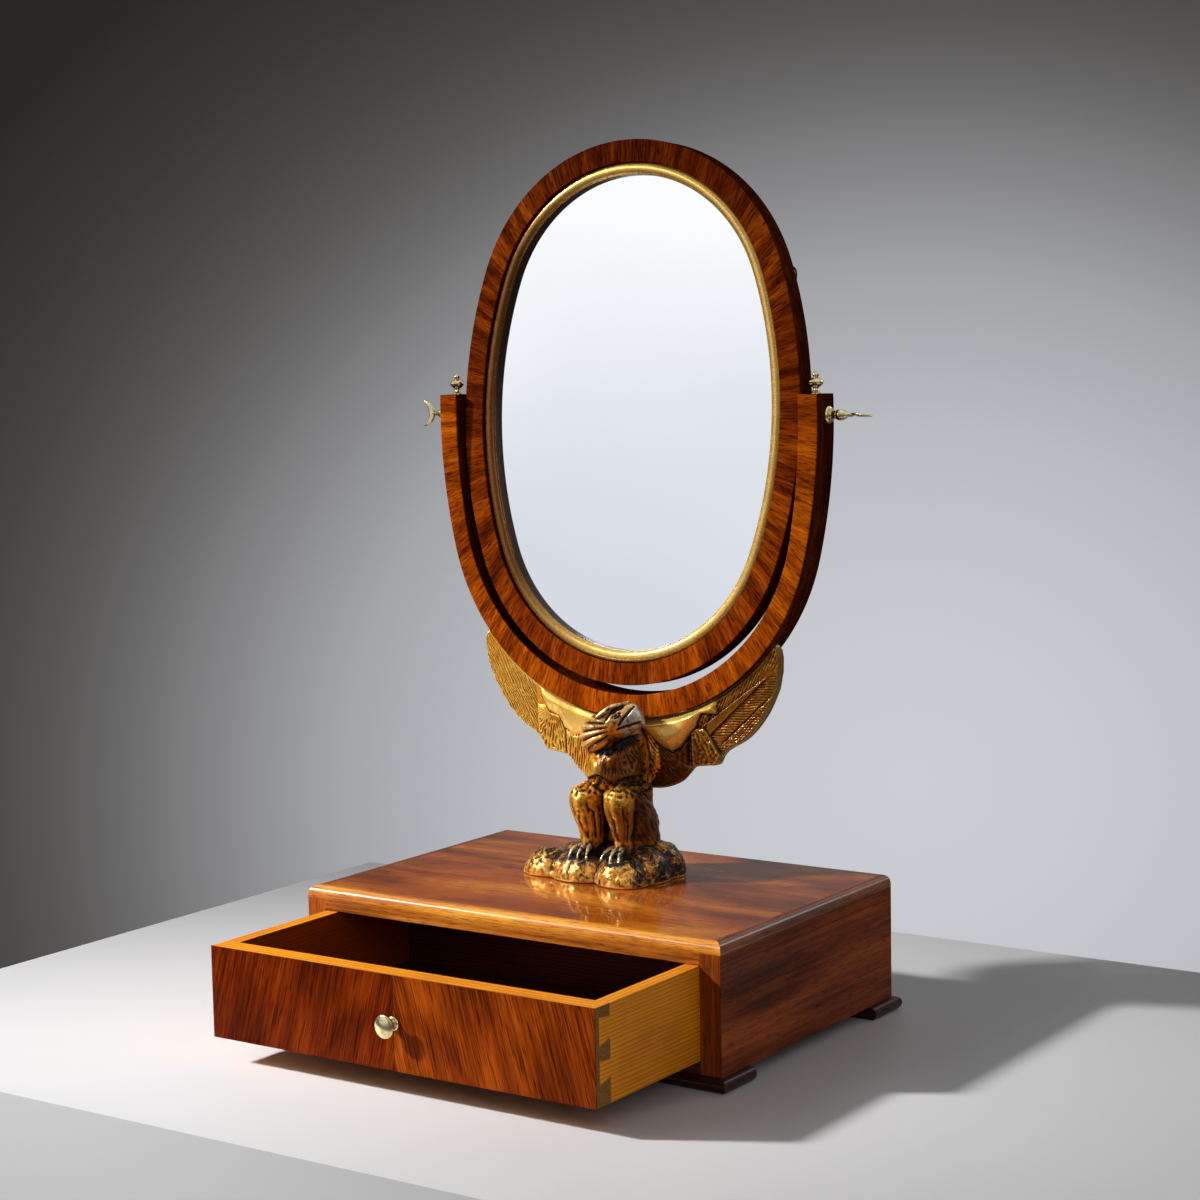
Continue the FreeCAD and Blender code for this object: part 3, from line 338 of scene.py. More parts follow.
def softwood(name, along, look):
    # yearly rings about an axis beside the board, so that its faces show long lines
    finish = Finish(name, Roughness=0.5, Specular_IOR_Level=0.15)
    x, y, z = finish.split(finish.place)
    length, across = (x, y) if along == "x" else (y, x)
    vector = finish.join(length, across, z)
    wander = finish.fibres(vector, (4, 18, 18), 3.0, 0.5)
    fibre = finish.fibres(vector, (12, 900, 900), 4.0, 0.6)
    tilted = finish.times(across, look["rings"] * look["slope"], finish.times(wander, look["wander"]))
    rings = finish.math("FRACT", finish.times(z, look["rings"], tilted))
    late = finish.ramp(rings, (0.0, 0.0), (0.62, 0.25), (0.86, 1.0), (0.97, 0.85), (1.0, 0.0))
    base = finish.mix(late, look["early"], look["late"])
    base = finish.mix(finish.ramp(fibre, (0.3, 0.5), (0.6, 0.0)), base, look["late"], "MULTIPLY")
    stain = finish.noise(finish.place, 14.0, 4.0, 0.6)
    base = finish.mix(finish.ramp(stain, (0.42, 0.0), (0.75, look["stain"])), base, look["dirt"], "MULTIPLY")
    if look["inside"]:
        # faces toward the drawer's inside are stained: nearer the middle than a plane across this axis
        axis, plane = look["inside"]
        lined = (finish.math("LESS_THAN", finish.math("ABSOLUTE", x), plane) if axis == "x" else
                 finish.math("GREATER_THAN", y, plane))
        base = finish.mix(finish.times(lined, 0.9), base, (150, 84, 42), "MULTIPLY")
    if look["pins"]:
        # end grain of the front shows between the tails of the sides
        ends = finish.math("GREATER_THAN", finish.math("ABSOLUTE", finish.split(finish.normal)[0]), 0.6)
        base = finish.mix(ends, base, finish.ramp(fibre, (0.35, (92, 58, 18)), (0.65, (150, 106, 44))))
    finish.feed("Base Color", base)
    finish.relief(fibre, 0.12, 0.3)
    return finish.material


frameVeneer = crossBanding("frame_veneer", **shades((72, 24, 3), (138, 55, 7), (192, 92, 17)), leaves=13,
                           share=0.58, uneven=0.7, deep=(168, 128, 105))
yokeVeneer = crossBanding("yoke_veneer", **shades((102, 39, 4), (171, 76, 8), (222, 116, 20)), leaves=17,
                          share=0.56, uneven=0.5, deep=(185, 145, 122))
darkEdge = planks("dark_edge", "z", shades((40, 14, 5), (74, 29, 11), (108, 46, 18)), Roughness=0.55,
                  Specular_IOR_Level=0.0, Coat_Weight=0.0)
topVeneer = planks("top_veneer", "x", {
    **shades((128, 54, 8), (188, 93, 15), (230, 136, 38)), "share": 0.8, "figure": (3.4, 11, 11), "swirl": 1.8,
    "streak": (9, 340, 340)}, Roughness=0.2, Specular_IOR_Level=0.2, Coat_Weight=0.85, Coat_Roughness=0.012)
nosingWood = planks("nosing_wood", "x", shades((150, 76, 12), (214, 128, 28), (238, 164, 50)), Roughness=0.22,
                    Specular_IOR_Level=0.3, Coat_Weight=0.6, Coat_Roughness=0.04)
# the side runs use a darker copy of the moulding's wood, its grain along them: the darker tone is painted
# shade, matched to the right side turned from the key lamp
nosingShadedSide = planks("nosing_shaded_side_wood", "y", shades((88, 38, 9), (136, 66, 18), (174, 96, 32)), Roughness=0.22,
                    Specular_IOR_Level=0.3, Coat_Weight=0.5, Coat_Roughness=0.05)
railWood = planks("rail_wood", "x", shades((112, 54, 12), (180, 100, 28), (214, 136, 48)))
footWood = planks("foot_wood", "x", shades((30, 12, 5), (58, 24, 10), (84, 36, 15)), Roughness=0.3)

caseSide = {"joint": 0.094, "line": 0.0004}    # height and half width of the joint line, in metres


def caseSideFinish():
    # outer face with level grain, an orange upright edge at the front, and a joint line under the top frame
    finish = Finish("case_side_wood", Roughness=0.4, Specular_IOR_Level=0.08, Coat_Weight=0.05,
                    Coat_Roughness=0.06)
    x, y, z = finish.split(finish.place)
    face, streak = grain(finish, finish.join(y, z, x), {
        **mahogany, **shades((76, 28, 6), (134, 58, 16), (178, 88, 30)), "figure": (4, 34, 20), "share": 0.62})
    edge, _ = grain(finish, finish.join(z, x, y), {
        **mahogany, **shades((84, 32, 6), (136, 62, 14), (176, 92, 26))})
    facing = finish.math("LESS_THAN", finish.split(finish.normal)[1], -0.6)
    joint = finish.math("COMPARE", z, caseSide["joint"], caseSide["line"])
    face = finish.mix(finish.times(joint, 0.75), face, (24, 10, 6))
    finish.feed("Base Color", finish.mix(facing, face, edge))
    finish.relief(streak, 0.15, 0.3)
    return finish.material


drawerLeaf = {**mahogany, **shades((76, 26, 3), (130, 51, 6), (178, 82, 14)), "figure": (8, 30, 30),
              "streak": (13, 480, 100), "pore": (38, 950, 950), "swirl": 0.9, "share": 0.5, "slant": 15,
              "seam": 0.0003}


def drawerLeafFinish():
    # two leaves opened like a book: the figure is mirrored at the seam
    finish = Finish("drawer_veneer", Roughness=0.36, Specular_IOR_Level=0.02, Coat_Weight=0.015,
                    Coat_Roughness=0.05)
    x, y, z = finish.split(finish.place)
    beside = finish.math("ABSOLUTE", x)
    upright = finish.stretch(finish.join(z, beside, y), turn=(0, 0, drawerLeaf["slant"]))
    base, streak = grain(finish, upright, drawerLeaf)
    clouds = finish.fibres(finish.join(beside, y, z), (6, 1, 3), 2.0)
    base = finish.mix(finish.ramp(clouds, (0.35, 0.4), (0.65, 0.0)), base, (150, 105, 85), "MULTIPLY")
    left = finish.times(finish.math("LESS_THAN", x, 0.0), 0.8)
    base = finish.mix(left, base, (184, 145, 122), "MULTIPLY")
    seam = finish.times(finish.math("COMPARE", x, 0.0, drawerLeaf["seam"]), 0.75)
    finish.feed("Base Color", finish.mix(seam, base, (40, 15, 8)))
    finish.relief(streak, 0.12, 0.3)
    return finish.material


pine = {"rings": 330.0, "slope": 0.55, "wander": 3.0, "stain": 0.4, "dirt": (170, 120, 80), "inside": None,
        "pins": False}
goldPine = {**pine, "early": (246, 164, 24), "late": (208, 118, 11)}
oldPine = {**pine, "early": (104, 52, 20), "late": (66, 28, 9), "stain": 0.7}
drawerSideWood = softwood("drawer_side_pine", "y", {**goldPine, "inside": ("x", 0.1688)})
drawerCrossWood = softwood("drawer_front_pine", "x", {**goldPine, "inside": ("y", -0.2522), "pins": True})
drawerBottomWood = softwood("drawer_bottom_pine", "x", {
    **oldPine, "early": (112, 54, 20), "late": (70, 28, 8)})
innerWood = softwood("inner_pine", "y", oldPine)
backWood = softwood("back_pine", "x", {**oldPine, "early": (134, 92, 54), "late": (98, 60, 32)})


def metal(name, base, rough, tarnish):
    # bare metal with clouds of tarnish, which are duller
    finish = Finish(name, Metallic=1.0)
    cloud = finish.noise(finish.place, 220.0, 4.0, 0.6)
    finish.feed("Base Color", finish.mix(finish.ramp(cloud, (0.45, 0.0), (0.75, 1.0)), base, tarnish))
    finish.feed("Roughness", finish.ramp(cloud, (0.3, rough), (0.7, rough * 1.7)))
    return finish.material


brass = metal("brass", (236, 216, 166), 0.13, (188, 156, 98))
iron = metal("iron", (96, 92, 88), 0.42, (58, 50, 44))
glassFinish = Finish("looking_glass", Metallic=1.0, Base_Color=(252, 253, 254), Roughness=0.015).material


def slipGilding():
    # gold leaf over dark bole, rubbed through in patches along both edges ("rub" is 1 at an edge), and darkened
    # toward the left as painted shade
    finish = Finish("slip_gilding", Metallic=0.6, Roughness=0.3)
    coarse = finish.noise(finish.place, 130.0, 5.0, 0.65)
    fine = finish.noise(finish.place, 900.0, 4.0, 0.6)
    worn = finish.times(finish.noted("rub"), 0.75, finish.times(coarse, 0.55))
    gold = finish.ramp(fine, (0.3, (206, 150, 62)), (0.55, (240, 192, 98)), (0.75, (255, 224, 150)))
    # painted shade: the slip grows darker toward its left part, where the frame's rim shades it
    shadedLeft = finish.ramp(finish.times(finish.split(finish.place)[0], -8.0), (0.2, 0.0), (0.9, 0.95))
    gold = finish.mix(shadedLeft, gold, (122, 86, 36), "MULTIPLY")
    finish.feed("Base Color", finish.mix(finish.ramp(worn, (0.7, 0.0), (0.82, 1.0)), gold, (52, 24, 9)))
    finish.feed("Roughness", finish.ramp(coarse, (0.3, 0.16), (0.7, 0.34)))
    finish.relief(fine, 0.12, 0.2)
    return finish.material


def carvedGildingFinish():
    # lacquered gold over black: dark in the hollows, partly as painted shade, darkened as painted shade on the
    # side away from the key lamp, rubbed bright on ridges, speckled where it is old
    finish = Finish("carved_gilding", Specular_IOR_Level=0.22)
    hollow_and_shade, age, shade_and_tone, silver = (finish.noted(name) for name in ("hollow_and_shade", "age", "shade_and_tone", "silver"))
    coarse = finish.noise(finish.place, 60.0, 4.0, 0.6)
    speck = finish.noise(finish.place, 150.0, 9.0, 0.84, 0.8)
    fine = finish.noise(finish.place, 1500.0, 2.0, 0.5)
    level = finish.times(finish.math("SUBTRACT", coarse, 0.5), 0.35, hollow_and_shade)
    gold = finish.ramp(level, (0.26, (255, 210, 104)), (0.42, (240, 162, 34)), (0.54, (184, 110, 14)),
                       (0.66, (92, 52, 7)), (0.8, (20, 12, 5)))
    gold = finish.mix(finish.ramp(fine, (0.3, 0.3), (0.55, 0.0)), gold, (170, 120, 60), "MULTIPLY")
    # painted shade darkens the chest's right part, the right flank, the right wing and the legs; the toes are
    # darker in their own tone
    gold = finish.mix(shade_and_tone, gold, (118, 98, 44), "MULTIPLY")
    bare = finish.ramp(level, (0.3, (206, 194, 172)), (0.55, (124, 110, 94)), (0.75, (20, 16, 13)))
    gold = finish.mix(silver, gold, bare)
    spots = finish.ramp(finish.times(age, 0.2, speck), (0.6, 0.0), (0.65, 1.0))
    finish.feed("Base Color", finish.mix(spots, gold, (24, 19, 16)))
    finish.feed("Metallic", finish.ramp(finish.math("MAXIMUM", spots, hollow_and_shade), (0.5, 0.5), (0.9, 0.0)))
    finish.feed("Roughness", finish.ramp(coarse, (0.3, 0.2), (0.7, 0.36)))
    finish.relief(finish.times(speck, 0.6, fine), 0.25, 0.25)
    return finish.material


carvedGilding = carvedGildingFinish()
caseSideWood, drawerVeneer, slipGold = caseSideFinish(), drawerLeafFinish(), slipGilding()
print("finishes ready")


# Case and drawer boards keep their solids and get finishes and softened edges

def dress(names, finish, soften=0.0):
    # the finish goes on each node, and edges sharper than 40 degrees are rounded by so many millimetres
    for name in names.split():
        node = nodes[name]
        node.data.materials.clear()
        node.data.materials.append(finish)
        weld = node.modifiers.new("weld", "WELD")
        weld.merge_threshold = weldReach
        if soften:
            edge = node.modifiers.new("edge", "BEVEL")
            edge.width, edge.segments, edge.limit_method = soften * mm, 2, "ANGLE"
            edge.angle_limit, edge.harden_normals = math.radians(40), True


dress("case_side_left case_side_right", caseSideWood, 0.4)
dress("front_top_rail", railWood, 0.4)
dress("rear_top_rail case_base drawer_kicker_left drawer_kicker_right drawer_stops", innerWood, 0.3)
dress("case_back", backWood, 0.4)
dress("case_top top_veneer", topVeneer)
dress("drawer_veneer_left drawer_veneer_right", drawerVeneer)
dress("drawer_side_left drawer_side_right", drawerSideWood, 0.35)
dress("drawer_front", drawerCrossWood, 0.3)
dress("drawer_back", drawerBottomWood, 0.3)
dress("drawer_bottom", drawerBottomWood)
dress("backboard", backWood, 0.3)
dress("mount_screws plate_screws backboard_brads knob_nut", iron, 0.15)
dress("pivot_plate_left pivot_plate_right", iron, 0.2)
dress("wing_dowels yoke_dowel", drawerSideWood, 0.3)
print("case and drawer dressed")

nosing = {"round": 7.6, "edge": 0.5, "rows": [0.0, 0.002, 0.5, 0.998, 1.0]}


def nosingRun(node, along):
    # a quarter-round moulding: its section is carried from mitre to mitre, and each mitred end is sheared
    # by the section's reach
    low, high = (np.array(corner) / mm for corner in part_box(node))
    wide = high[1] - low[1] if along == "front" else high[0] - low[0]
    tall = high[2] - low[2]
    corners = [(0, 0), (wide, 0), (wide, tall), (0, tall)]
    out, up = softCorners(corners, [crisp, nosing["edge"], nosing["round"], crisp], 10).T
    if along == "front":
        start, end, across = low[0] + wide - out, high[0] - wide + out, high[1] - out
    else:
        start, end = low[1] + wide - out, high[1]
        across = high[0] - wide + out if along == "right" else low[0] + wide - out
    run = start + (end - start) * np.array(nosing["rows"])[:, None]
    run, across, level = np.broadcast_arrays(run, across, low[2] + up)
    grid = np.stack([run, across, level] if along == "front" else [across, run, level], -1)
    return [(closedRows(grid), False, True)]


for side, wood in (("front", nosingWood), ("left", nosingShadedSide), ("right", nosingShadedSide)):
    node = f"nosing_{side}"
    piece(f"nosing{side.title()}", nosingRun(node, side), "stand", wood, [node], 30)

foot = {"round": 4.6, "rows": 17}


def footPad(node, outX, outY):
    # a flat pad whose two outer edges are half round: rows go up it, columns round its four corners
    low, high = (np.array(corner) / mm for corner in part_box(node))
    tall = high[2] - low[2]
    swing = np.linspace(-math.pi / 2, math.pi / 2, foot["rows"])
    inset = foot["round"] * (1 - np.cos(swing))
    level = low[2] + tall / 2 * (1 + np.sin(swing))
    inX, farX = (low[0], high[0]) if outX > 0 else (high[0], low[0])
    inY, farY = (low[1], high[1]) if outY > 0 else (high[1], low[1])
    edgeX, edgeY = farX - outX * inset, farY - outY * inset
    ring = [(inX, inY), (edgeX, inY), (edgeX, edgeY), (inX, edgeY)]
    grid = np.stack([np.stack(np.broadcast_arrays(x, y, level), -1) for x, y in ring], 1)
    return [(closedRows(grid), False, True)]


for sideX, outX in (("left", -1), ("right", 1)):
    for sideY, outY in (("front", -1), ("back", 1)):
        node = f"foot_{sideY}_{sideX}"
        piece(f"foot{sideY.title()}{sideX.title()}", footPad(node, outX, outY), "stand",
              footWood, [node], 30)
print("nosing and feet made")

knob = {"spot": (0, -271.0, 57.2), "profile": [
    (-13.0, 0.0), (-12.97, 2.0), (-12.75, 4.6), (-12.3, 7.0), (-11.9, 8.3), (-11.4, 8.85), (-10.8, 8.85),
    (-10.35, 8.4), (-9.9, 7.2), (-9.2, 5.4), (-8.2, 4.2), (-6.9, 3.5), (-5.4, 3.3), (-3.8, 3.6), (-2.7, 4.3),
    (-1.9, 4.6), (-1.5, 5.2), (-1.2, 5.4), (-0.1, 5.4), (0.0, 5.2), (0.0, 2.0), (22.4, 2.0),
    (22.5, 1.8), (22.5, 0.0)]}
piece("drawerKnob", [turnedOn(knob["profile"], knob["spot"], "y", 96)], "drawer", brass,
      ["drawer_knob"], 32)


# Looking glass: frame, banded front, gilt slip and plate follow one oval

oval = {"width": 166.0, "height": 225.0, "endRound": 154.0, "points": 420, "front": -9.85, "back": 9.85,
        "band": 18.3, "veneer": 1.0, "rebate": 13.3, "slip": 10.2, "slipFront": -8.35, "slipBack": -0.35,
        "slipFall": 4.2, "slipPoints": 25, "plate": 13.7, "arris": 0.3, "glassBack": 2.65}
track = ovalTrack(oval["width"], oval["height"], oval["endRound"], oval["points"])


def ovalPiece(name, section, finish, node):
    # a closed section carried once round the oval, on the leaning glass
    return piece(name, [(onPivot(ovalGrid(track, section)), True, True)], "mirror", finish, [node])


def lookingGlass():
    # sections are (inset from the outer edge, depth); the slip's front is a flattened half round
    front, back, band, rebate = oval["front"], oval["back"], oval["band"], oval["rebate"]
    sheet, slipBack, glassBack = front + oval["veneer"], oval["slipBack"], oval["glassBack"]
    banded = softCorners([(0, sheet), (0, front), (band, front), (band, sheet)], [crisp, 0.55, 0.4, crisp])
    ovalPiece("mirrorVeneer", banded, frameVeneer, "mirror_veneer")
    core = softCorners([(0, sheet), (band, sheet), (band, slipBack), (rebate, slipBack), (rebate, back),
                        (0, back)], [crisp, crisp, crisp, crisp, 0.4, 0.8])
    ovalPiece("mirrorFrame", core, darkEdge, "mirror_frame")
    swing = np.linspace(0, math.pi, oval["slipPoints"])
    rounded = np.stack([band + oval["slip"] * (0.5 - 0.5 * np.cos(swing)),
                        oval["slipFront"] + oval["slipFall"] * (1 - np.sin(swing) ** 0.8)], -1)
    section = np.concatenate([rounded, [(band + oval["slip"], slipBack), (band, slipBack)]])
    slip = ovalPiece("giltSlip", section, slipGold, "gilt_slip")
    rub = np.abs(np.linspace(-1, 1, oval["slipPoints"])) ** 4
    note(slip.data, "rub", np.tile(np.concatenate([rub, [1, 1]]), oval["points"]))
    plate, arris = oval["plate"], oval["arris"]
    rows = ovalGrid(track, [(plate + arris, slipBack), (plate, slipBack + arris), (plate, glassBack - arris),
                            (plate + arris, glassBack)])
    grid = onPivot(closedRows(np.moveaxis(rows, 1, 0)))
    piece("mirrorGlass", [(grid, False, True)], "mirror", glassFinish, ["mirror_glass"])


lookingGlass()
print("looking glass made")


# Yoke: an open band between two ovals, from arm top to arm top

yoke = {"front": 42.0, "thickness": 28.0, "veneer": 1.0, "armTop": 16.6, "armTurn": 0.09, "rows": 360,
        "inner": (169.3, 232.5, 163.0), "outer": (186.4, 252.0, 177.6)}


def yokeBand(near, far, rounds):
    # a rounded box across the band, from a near to a far depth, is carried round from the right arm to the
    # left one; each of its points keeps its distance from the inner or the outer edge
    half = 10.0
    corners = softCorners([(-half, near), (half, near), (half, far), (-half, far)], rounds)
    share = (corners[:, 0] > 0).astype(float)
    offset, depth = corners[:, 0] - np.where(share > 0, half, -half), corners[:, 1]
    t = np.linspace(0, 1, yoke["rows"])
    edges = []
    for edge in ("inner", "outer"):
        end = math.asin(yoke["armTop"] / ovalReach(yoke["armTurn"], *yoke[edge]))
        turn = end - (math.pi + 2 * end) * t
        reach = ovalReach(turn, *yoke[edge])
        edges.append(np.stack([reach * np.cos(turn), reach * np.sin(turn)], -1))
    inner, outer = edges
    across = outer - inner
    flat = inner[:, None] + across[:, None] * share[:, None] + unit(across)[:, None] * offset[:, None]
    grid = np.stack([flat[..., 0], np.repeat(depth[None], len(t), 0), pivot["height"] + flat[..., 1]], -1)
    return [(closedRows(grid), False, True)]


sheetBack = yoke["front"] + yoke["veneer"]
piece("yokeVeneer", yokeBand(yoke["front"], sheetBack, [0.5, 0.6, crisp, crisp]), "stand",
      yokeVeneer, ["yoke_veneer"])
piece("yokeBand", yokeBand(sheetBack, yoke["front"] + yoke["thickness"], [crisp, crisp, 1.0, 1.0]), "stand",
      darkEdge, ["yoke"])
print("yoke made")


# Turned brass of the arms and pivots, and the wire eye

finial = {"across": 177.85, "depth": 56.0, "foot": 511.1, "profile": [
    (-10.0, 0.0), (-10.0, 2.0), (0.0, 2.0), (0.02, 3.8), (0.3, 4.05), (0.8, 4.0), (1.2, 3.3), (1.8, 2.9),
    (2.3, 3.1), (2.7, 2.6), (3.6, 2.1), (4.6, 2.1), (5.4, 2.7), (6.2, 4.0), (7.2, 5.2), (8.4, 5.95),
    (9.6, 6.15), (10.6, 5.7), (11.6, 4.6), (12.3, 3.4), (12.7, 2.2), (13.0, 1.75), (13.3, 1.8), (13.9, 2.3),
    (14.8, 2.6), (15.8, 2.55), (16.7, 2.05), (17.4, 1.2), (17.7, 0.0)]}
rosette = {"across": 186.45, "profile": [
    (-17.1, 2.46), (-17.1, 4.0), (0.0, 4.0), (0.0, 6.9), (0.2, 7.1), (0.6, 7.1), (1.1, 6.9), (1.9, 6.2),
    (2.4, 5.4), (2.6, 4.9), (2.65, 4.5), (3.0, 4.35), (3.5, 4.2), (3.64, 3.9), (3.64, 2.46)]}
washer = {"across": 166.4, "profile": [
    (0.0, 2.46), (0.0, 5.7), (0.3, 6.0), (2.55, 6.0), (2.85, 5.7), (2.85, 2.46)]}
thumb = {"across": 190.09, "turn": {"left": 0.0, "right": 84.0},
         "root": [(-29.4, 0.0), (-29.4, 2.4), (0.2, 2.4), (0.2, 3.0), (0.4, 3.2), (2.9, 3.2)],
         "bulb": (3.2, 14.2), "neck": 3.2, "taper": 1.6, "swell": 1.9,
         "end": [(17.6, 1.5), (18.4, 1.2), (18.6, 0.0)],
         "tip": 29.7, "horn": 0.4, "spread": 11.4, "thickness": 2.2, "notch": 6.5, "crescent": 12.6}


def thumbBlade():
    # crescent with a hollow outer and a full inner edge, both from horn to horn; it thins to rounded rims
    u, v = np.linspace(0, 1, 25)[:, None], np.linspace(-1, 1, 61)[None]
    outer = thumb["tip"] - thumb["notch"] * (1 - v ** 2)
    inner = thumb["tip"] - thumb["horn"] - thumb["crescent"] * (1 - v ** 2) ** 0.62
    rise = thumb["thickness"] / 2 * (1 - (2 * u - 1) ** 6) ** 0.5 * (1 - v ** 12) ** 0.5
    along, half = inner + u * (outer - inner), thumb["spread"] * v
    front, back = (np.stack(np.broadcast_arrays(along, face * rise, half), -1) for face in (1, -1))
    return np.concatenate([front, back[:, ::-1]], 1)


def thumbScrew(side, sign):
    # a turned stem that tapers under a sine-shaped bulb, and the blade, both turned about the screw's axis
    t = np.linspace(0, 1, 17)
    bulb = np.stack([thumb["bulb"][0] + t * (thumb["bulb"][1] - thumb["bulb"][0]),
                     thumb["neck"] - thumb["taper"] * t + thumb["swell"] * np.sin(np.pi * t ** 0.8)], -1)
    stem, *_ = turnedOn(np.concatenate([thumb["root"], bulb, thumb["end"]]), (0, 0, 0), "x", 64)
    shapes = []
    for shape in (stem, thumbBlade()):
        x, y, z = np.moveaxis(shape, -1, 0)
        y, z = spun(y, z, thumb["turn"][side])
        grid = np.stack([sign * (x + thumb["across"]), sign * y + pivot["depth"], z + pivot["height"]], -1)
        shapes.append((grid, False, True))
    return shapes


for side, sign in (("left", -1), ("right", 1)):
    name = side.title()
    top = (sign * finial["across"], finial["depth"], finial["foot"])
    piece(f"finial{name}", [turnedOn(finial["profile"], top, "z", 64)], "stand", brass,
          [f"finial_{side}"], 32)
    for part, look in (("rosette", rosette), ("washer", washer)):
        spot = (sign * look["across"], pivot["depth"], pivot["height"])
        ring, *_ = turnedOn(look["profile"], spot, "x" if sign > 0 else "-x", 64)
        piece(f"{part}{name}", [(ring, True, True)], "stand", brass, [f"pivot_{part}_{side}"], 32)
    piece(f"thumbScrew{name}", thumbScrew(side, sign), f"{side}_thumb_screw", brass,
          [f"thumb_screw_{side}"], 40)

eye = {"across": 141.3, "height": 112.0, "back": 9.85, "ring": 6.2, "wire": 0.75, "lift": 1.4, "shank": [
    (-4, 0), (-4, 1.1), (1.4, 1.1), (2.0, 0)]}


def eyeRing():
    # a wire carried round a circle that stands square to the frame's back, on a short stem
    t, s = np.meshgrid(fullTurn(56), fullTurn(18), indexing="ij")
    reach = eye["ring"] + eye["wire"] * np.cos(s)
    ring = np.stack([eye["across"] + eye["wire"] * np.sin(s),
                     eye["back"] + eye["lift"] + eye["ring"] + reach * np.cos(t),
                     eye["height"] + reach * np.sin(t)], -1)
    stem, *_ = turnedOn(eye["shank"], (eye["across"], eye["back"], eye["height"]), "y", 24)
    return [(onPivot(ring), True, True), (onPivot(stem), False, True)]


piece("backEye", eyeRing(), "mirror", iron, ["back_eye"])
print("brass and eye made")


# Carving: the eagle and its rock are closed shells melted into one, then cut with tool marks; wings are reliefs

def ease(value, low, high):
    # 0 at the first bound and 1 at the second, with a smooth step between them; the second may be the lower one
    t = np.clip((value - low) / (high - low), 0, 1)
    return t * t * (3 - 2 * t)


def between(value, start, full, last, end):
    # rises from 0 to 1 over the first two bounds and falls back to 0 over the other two
    return ease(value, start, full) * ease(value, end, last)


def softNoise(points, step, seed):
    # smooth random values: lattice corners a step apart get hashed numbers, blended by eased distance
    p = np.asarray(points, float) / step + seed * 7.31
    cell = np.floor(p)
    f = p - cell
    f = f * f * (3 - 2 * f)
    total = np.zeros(p.shape[:-1])
    for corner in np.ndindex(2, 2, 2):
        c = np.array(corner)
        value = np.sin((cell + c) @ np.array([127.1, 311.7, 74.7])) * 43758.5453
        weight = np.prod(np.where(c == 1, f, 1 - f), -1)
        total += weight * (value - np.floor(value))
    return total * 2 - 1


def limb(rings, axis, rows=60, around=72):
    # smooth tube through ellipses (middle x, y, z and two half widths) that lie square to an axis
    x, y, z, wide, tall = smoothLine(rings, rows).T[:, :, None]
    turn = fullTurn(around)[None]
    c, s = np.cos(turn), np.sin(turn)
    grid = {"z": (x + wide * c, y + tall * s, z + 0 * c), "x": (x + 0 * c, y + wide * c, z + tall * s)}[axis]
    return (closedRows(np.stack(grid, -1)), False, True)


def lobe(middle, radii, yaw=0.0, pitch=0.0):
    # egg-shaped boulder, tipped and then turned about the upright, flat where it meets the case's top
    lat, lon = np.meshgrid(np.linspace(-np.pi / 2, np.pi / 2, 33), fullTurn(64), indexing="ij")
    wide, deep, tall = radii
    x, y, z = wide * np.cos(lat) * np.cos(lon), deep * np.cos(lat) * np.sin(lon), tall * np.sin(lat)
    x, z = spun(x, z, pitch)
    x, y = spun(x, y, yaw)
    return (np.stack([x + middle[0], y + middle[1], np.maximum(z + middle[2], caseTop)], -1), False, True)


def stick(points, rows=28, around=20):
    # round rod along a curve (x, y, z, radius), its sections square to the curve; no rod runs along the steep
    # direction that the sections are squared with
    line = smoothLine(points, rows)
    centre, radius = line[:, :3], line[:, 3:]
    ahead = unit(np.gradient(centre, axis=0))
    side = unit(np.cross(ahead, [0.13, 0.21, 0.97]))
    over = np.cross(side, ahead)
    turn = fullTurn(around)[:, None]
    grid = centre[:, None] + radius[:, None] * (side[:, None] * np.cos(turn) + over[:, None] * np.sin(turn))
    return (closedRows(grid), False, True)


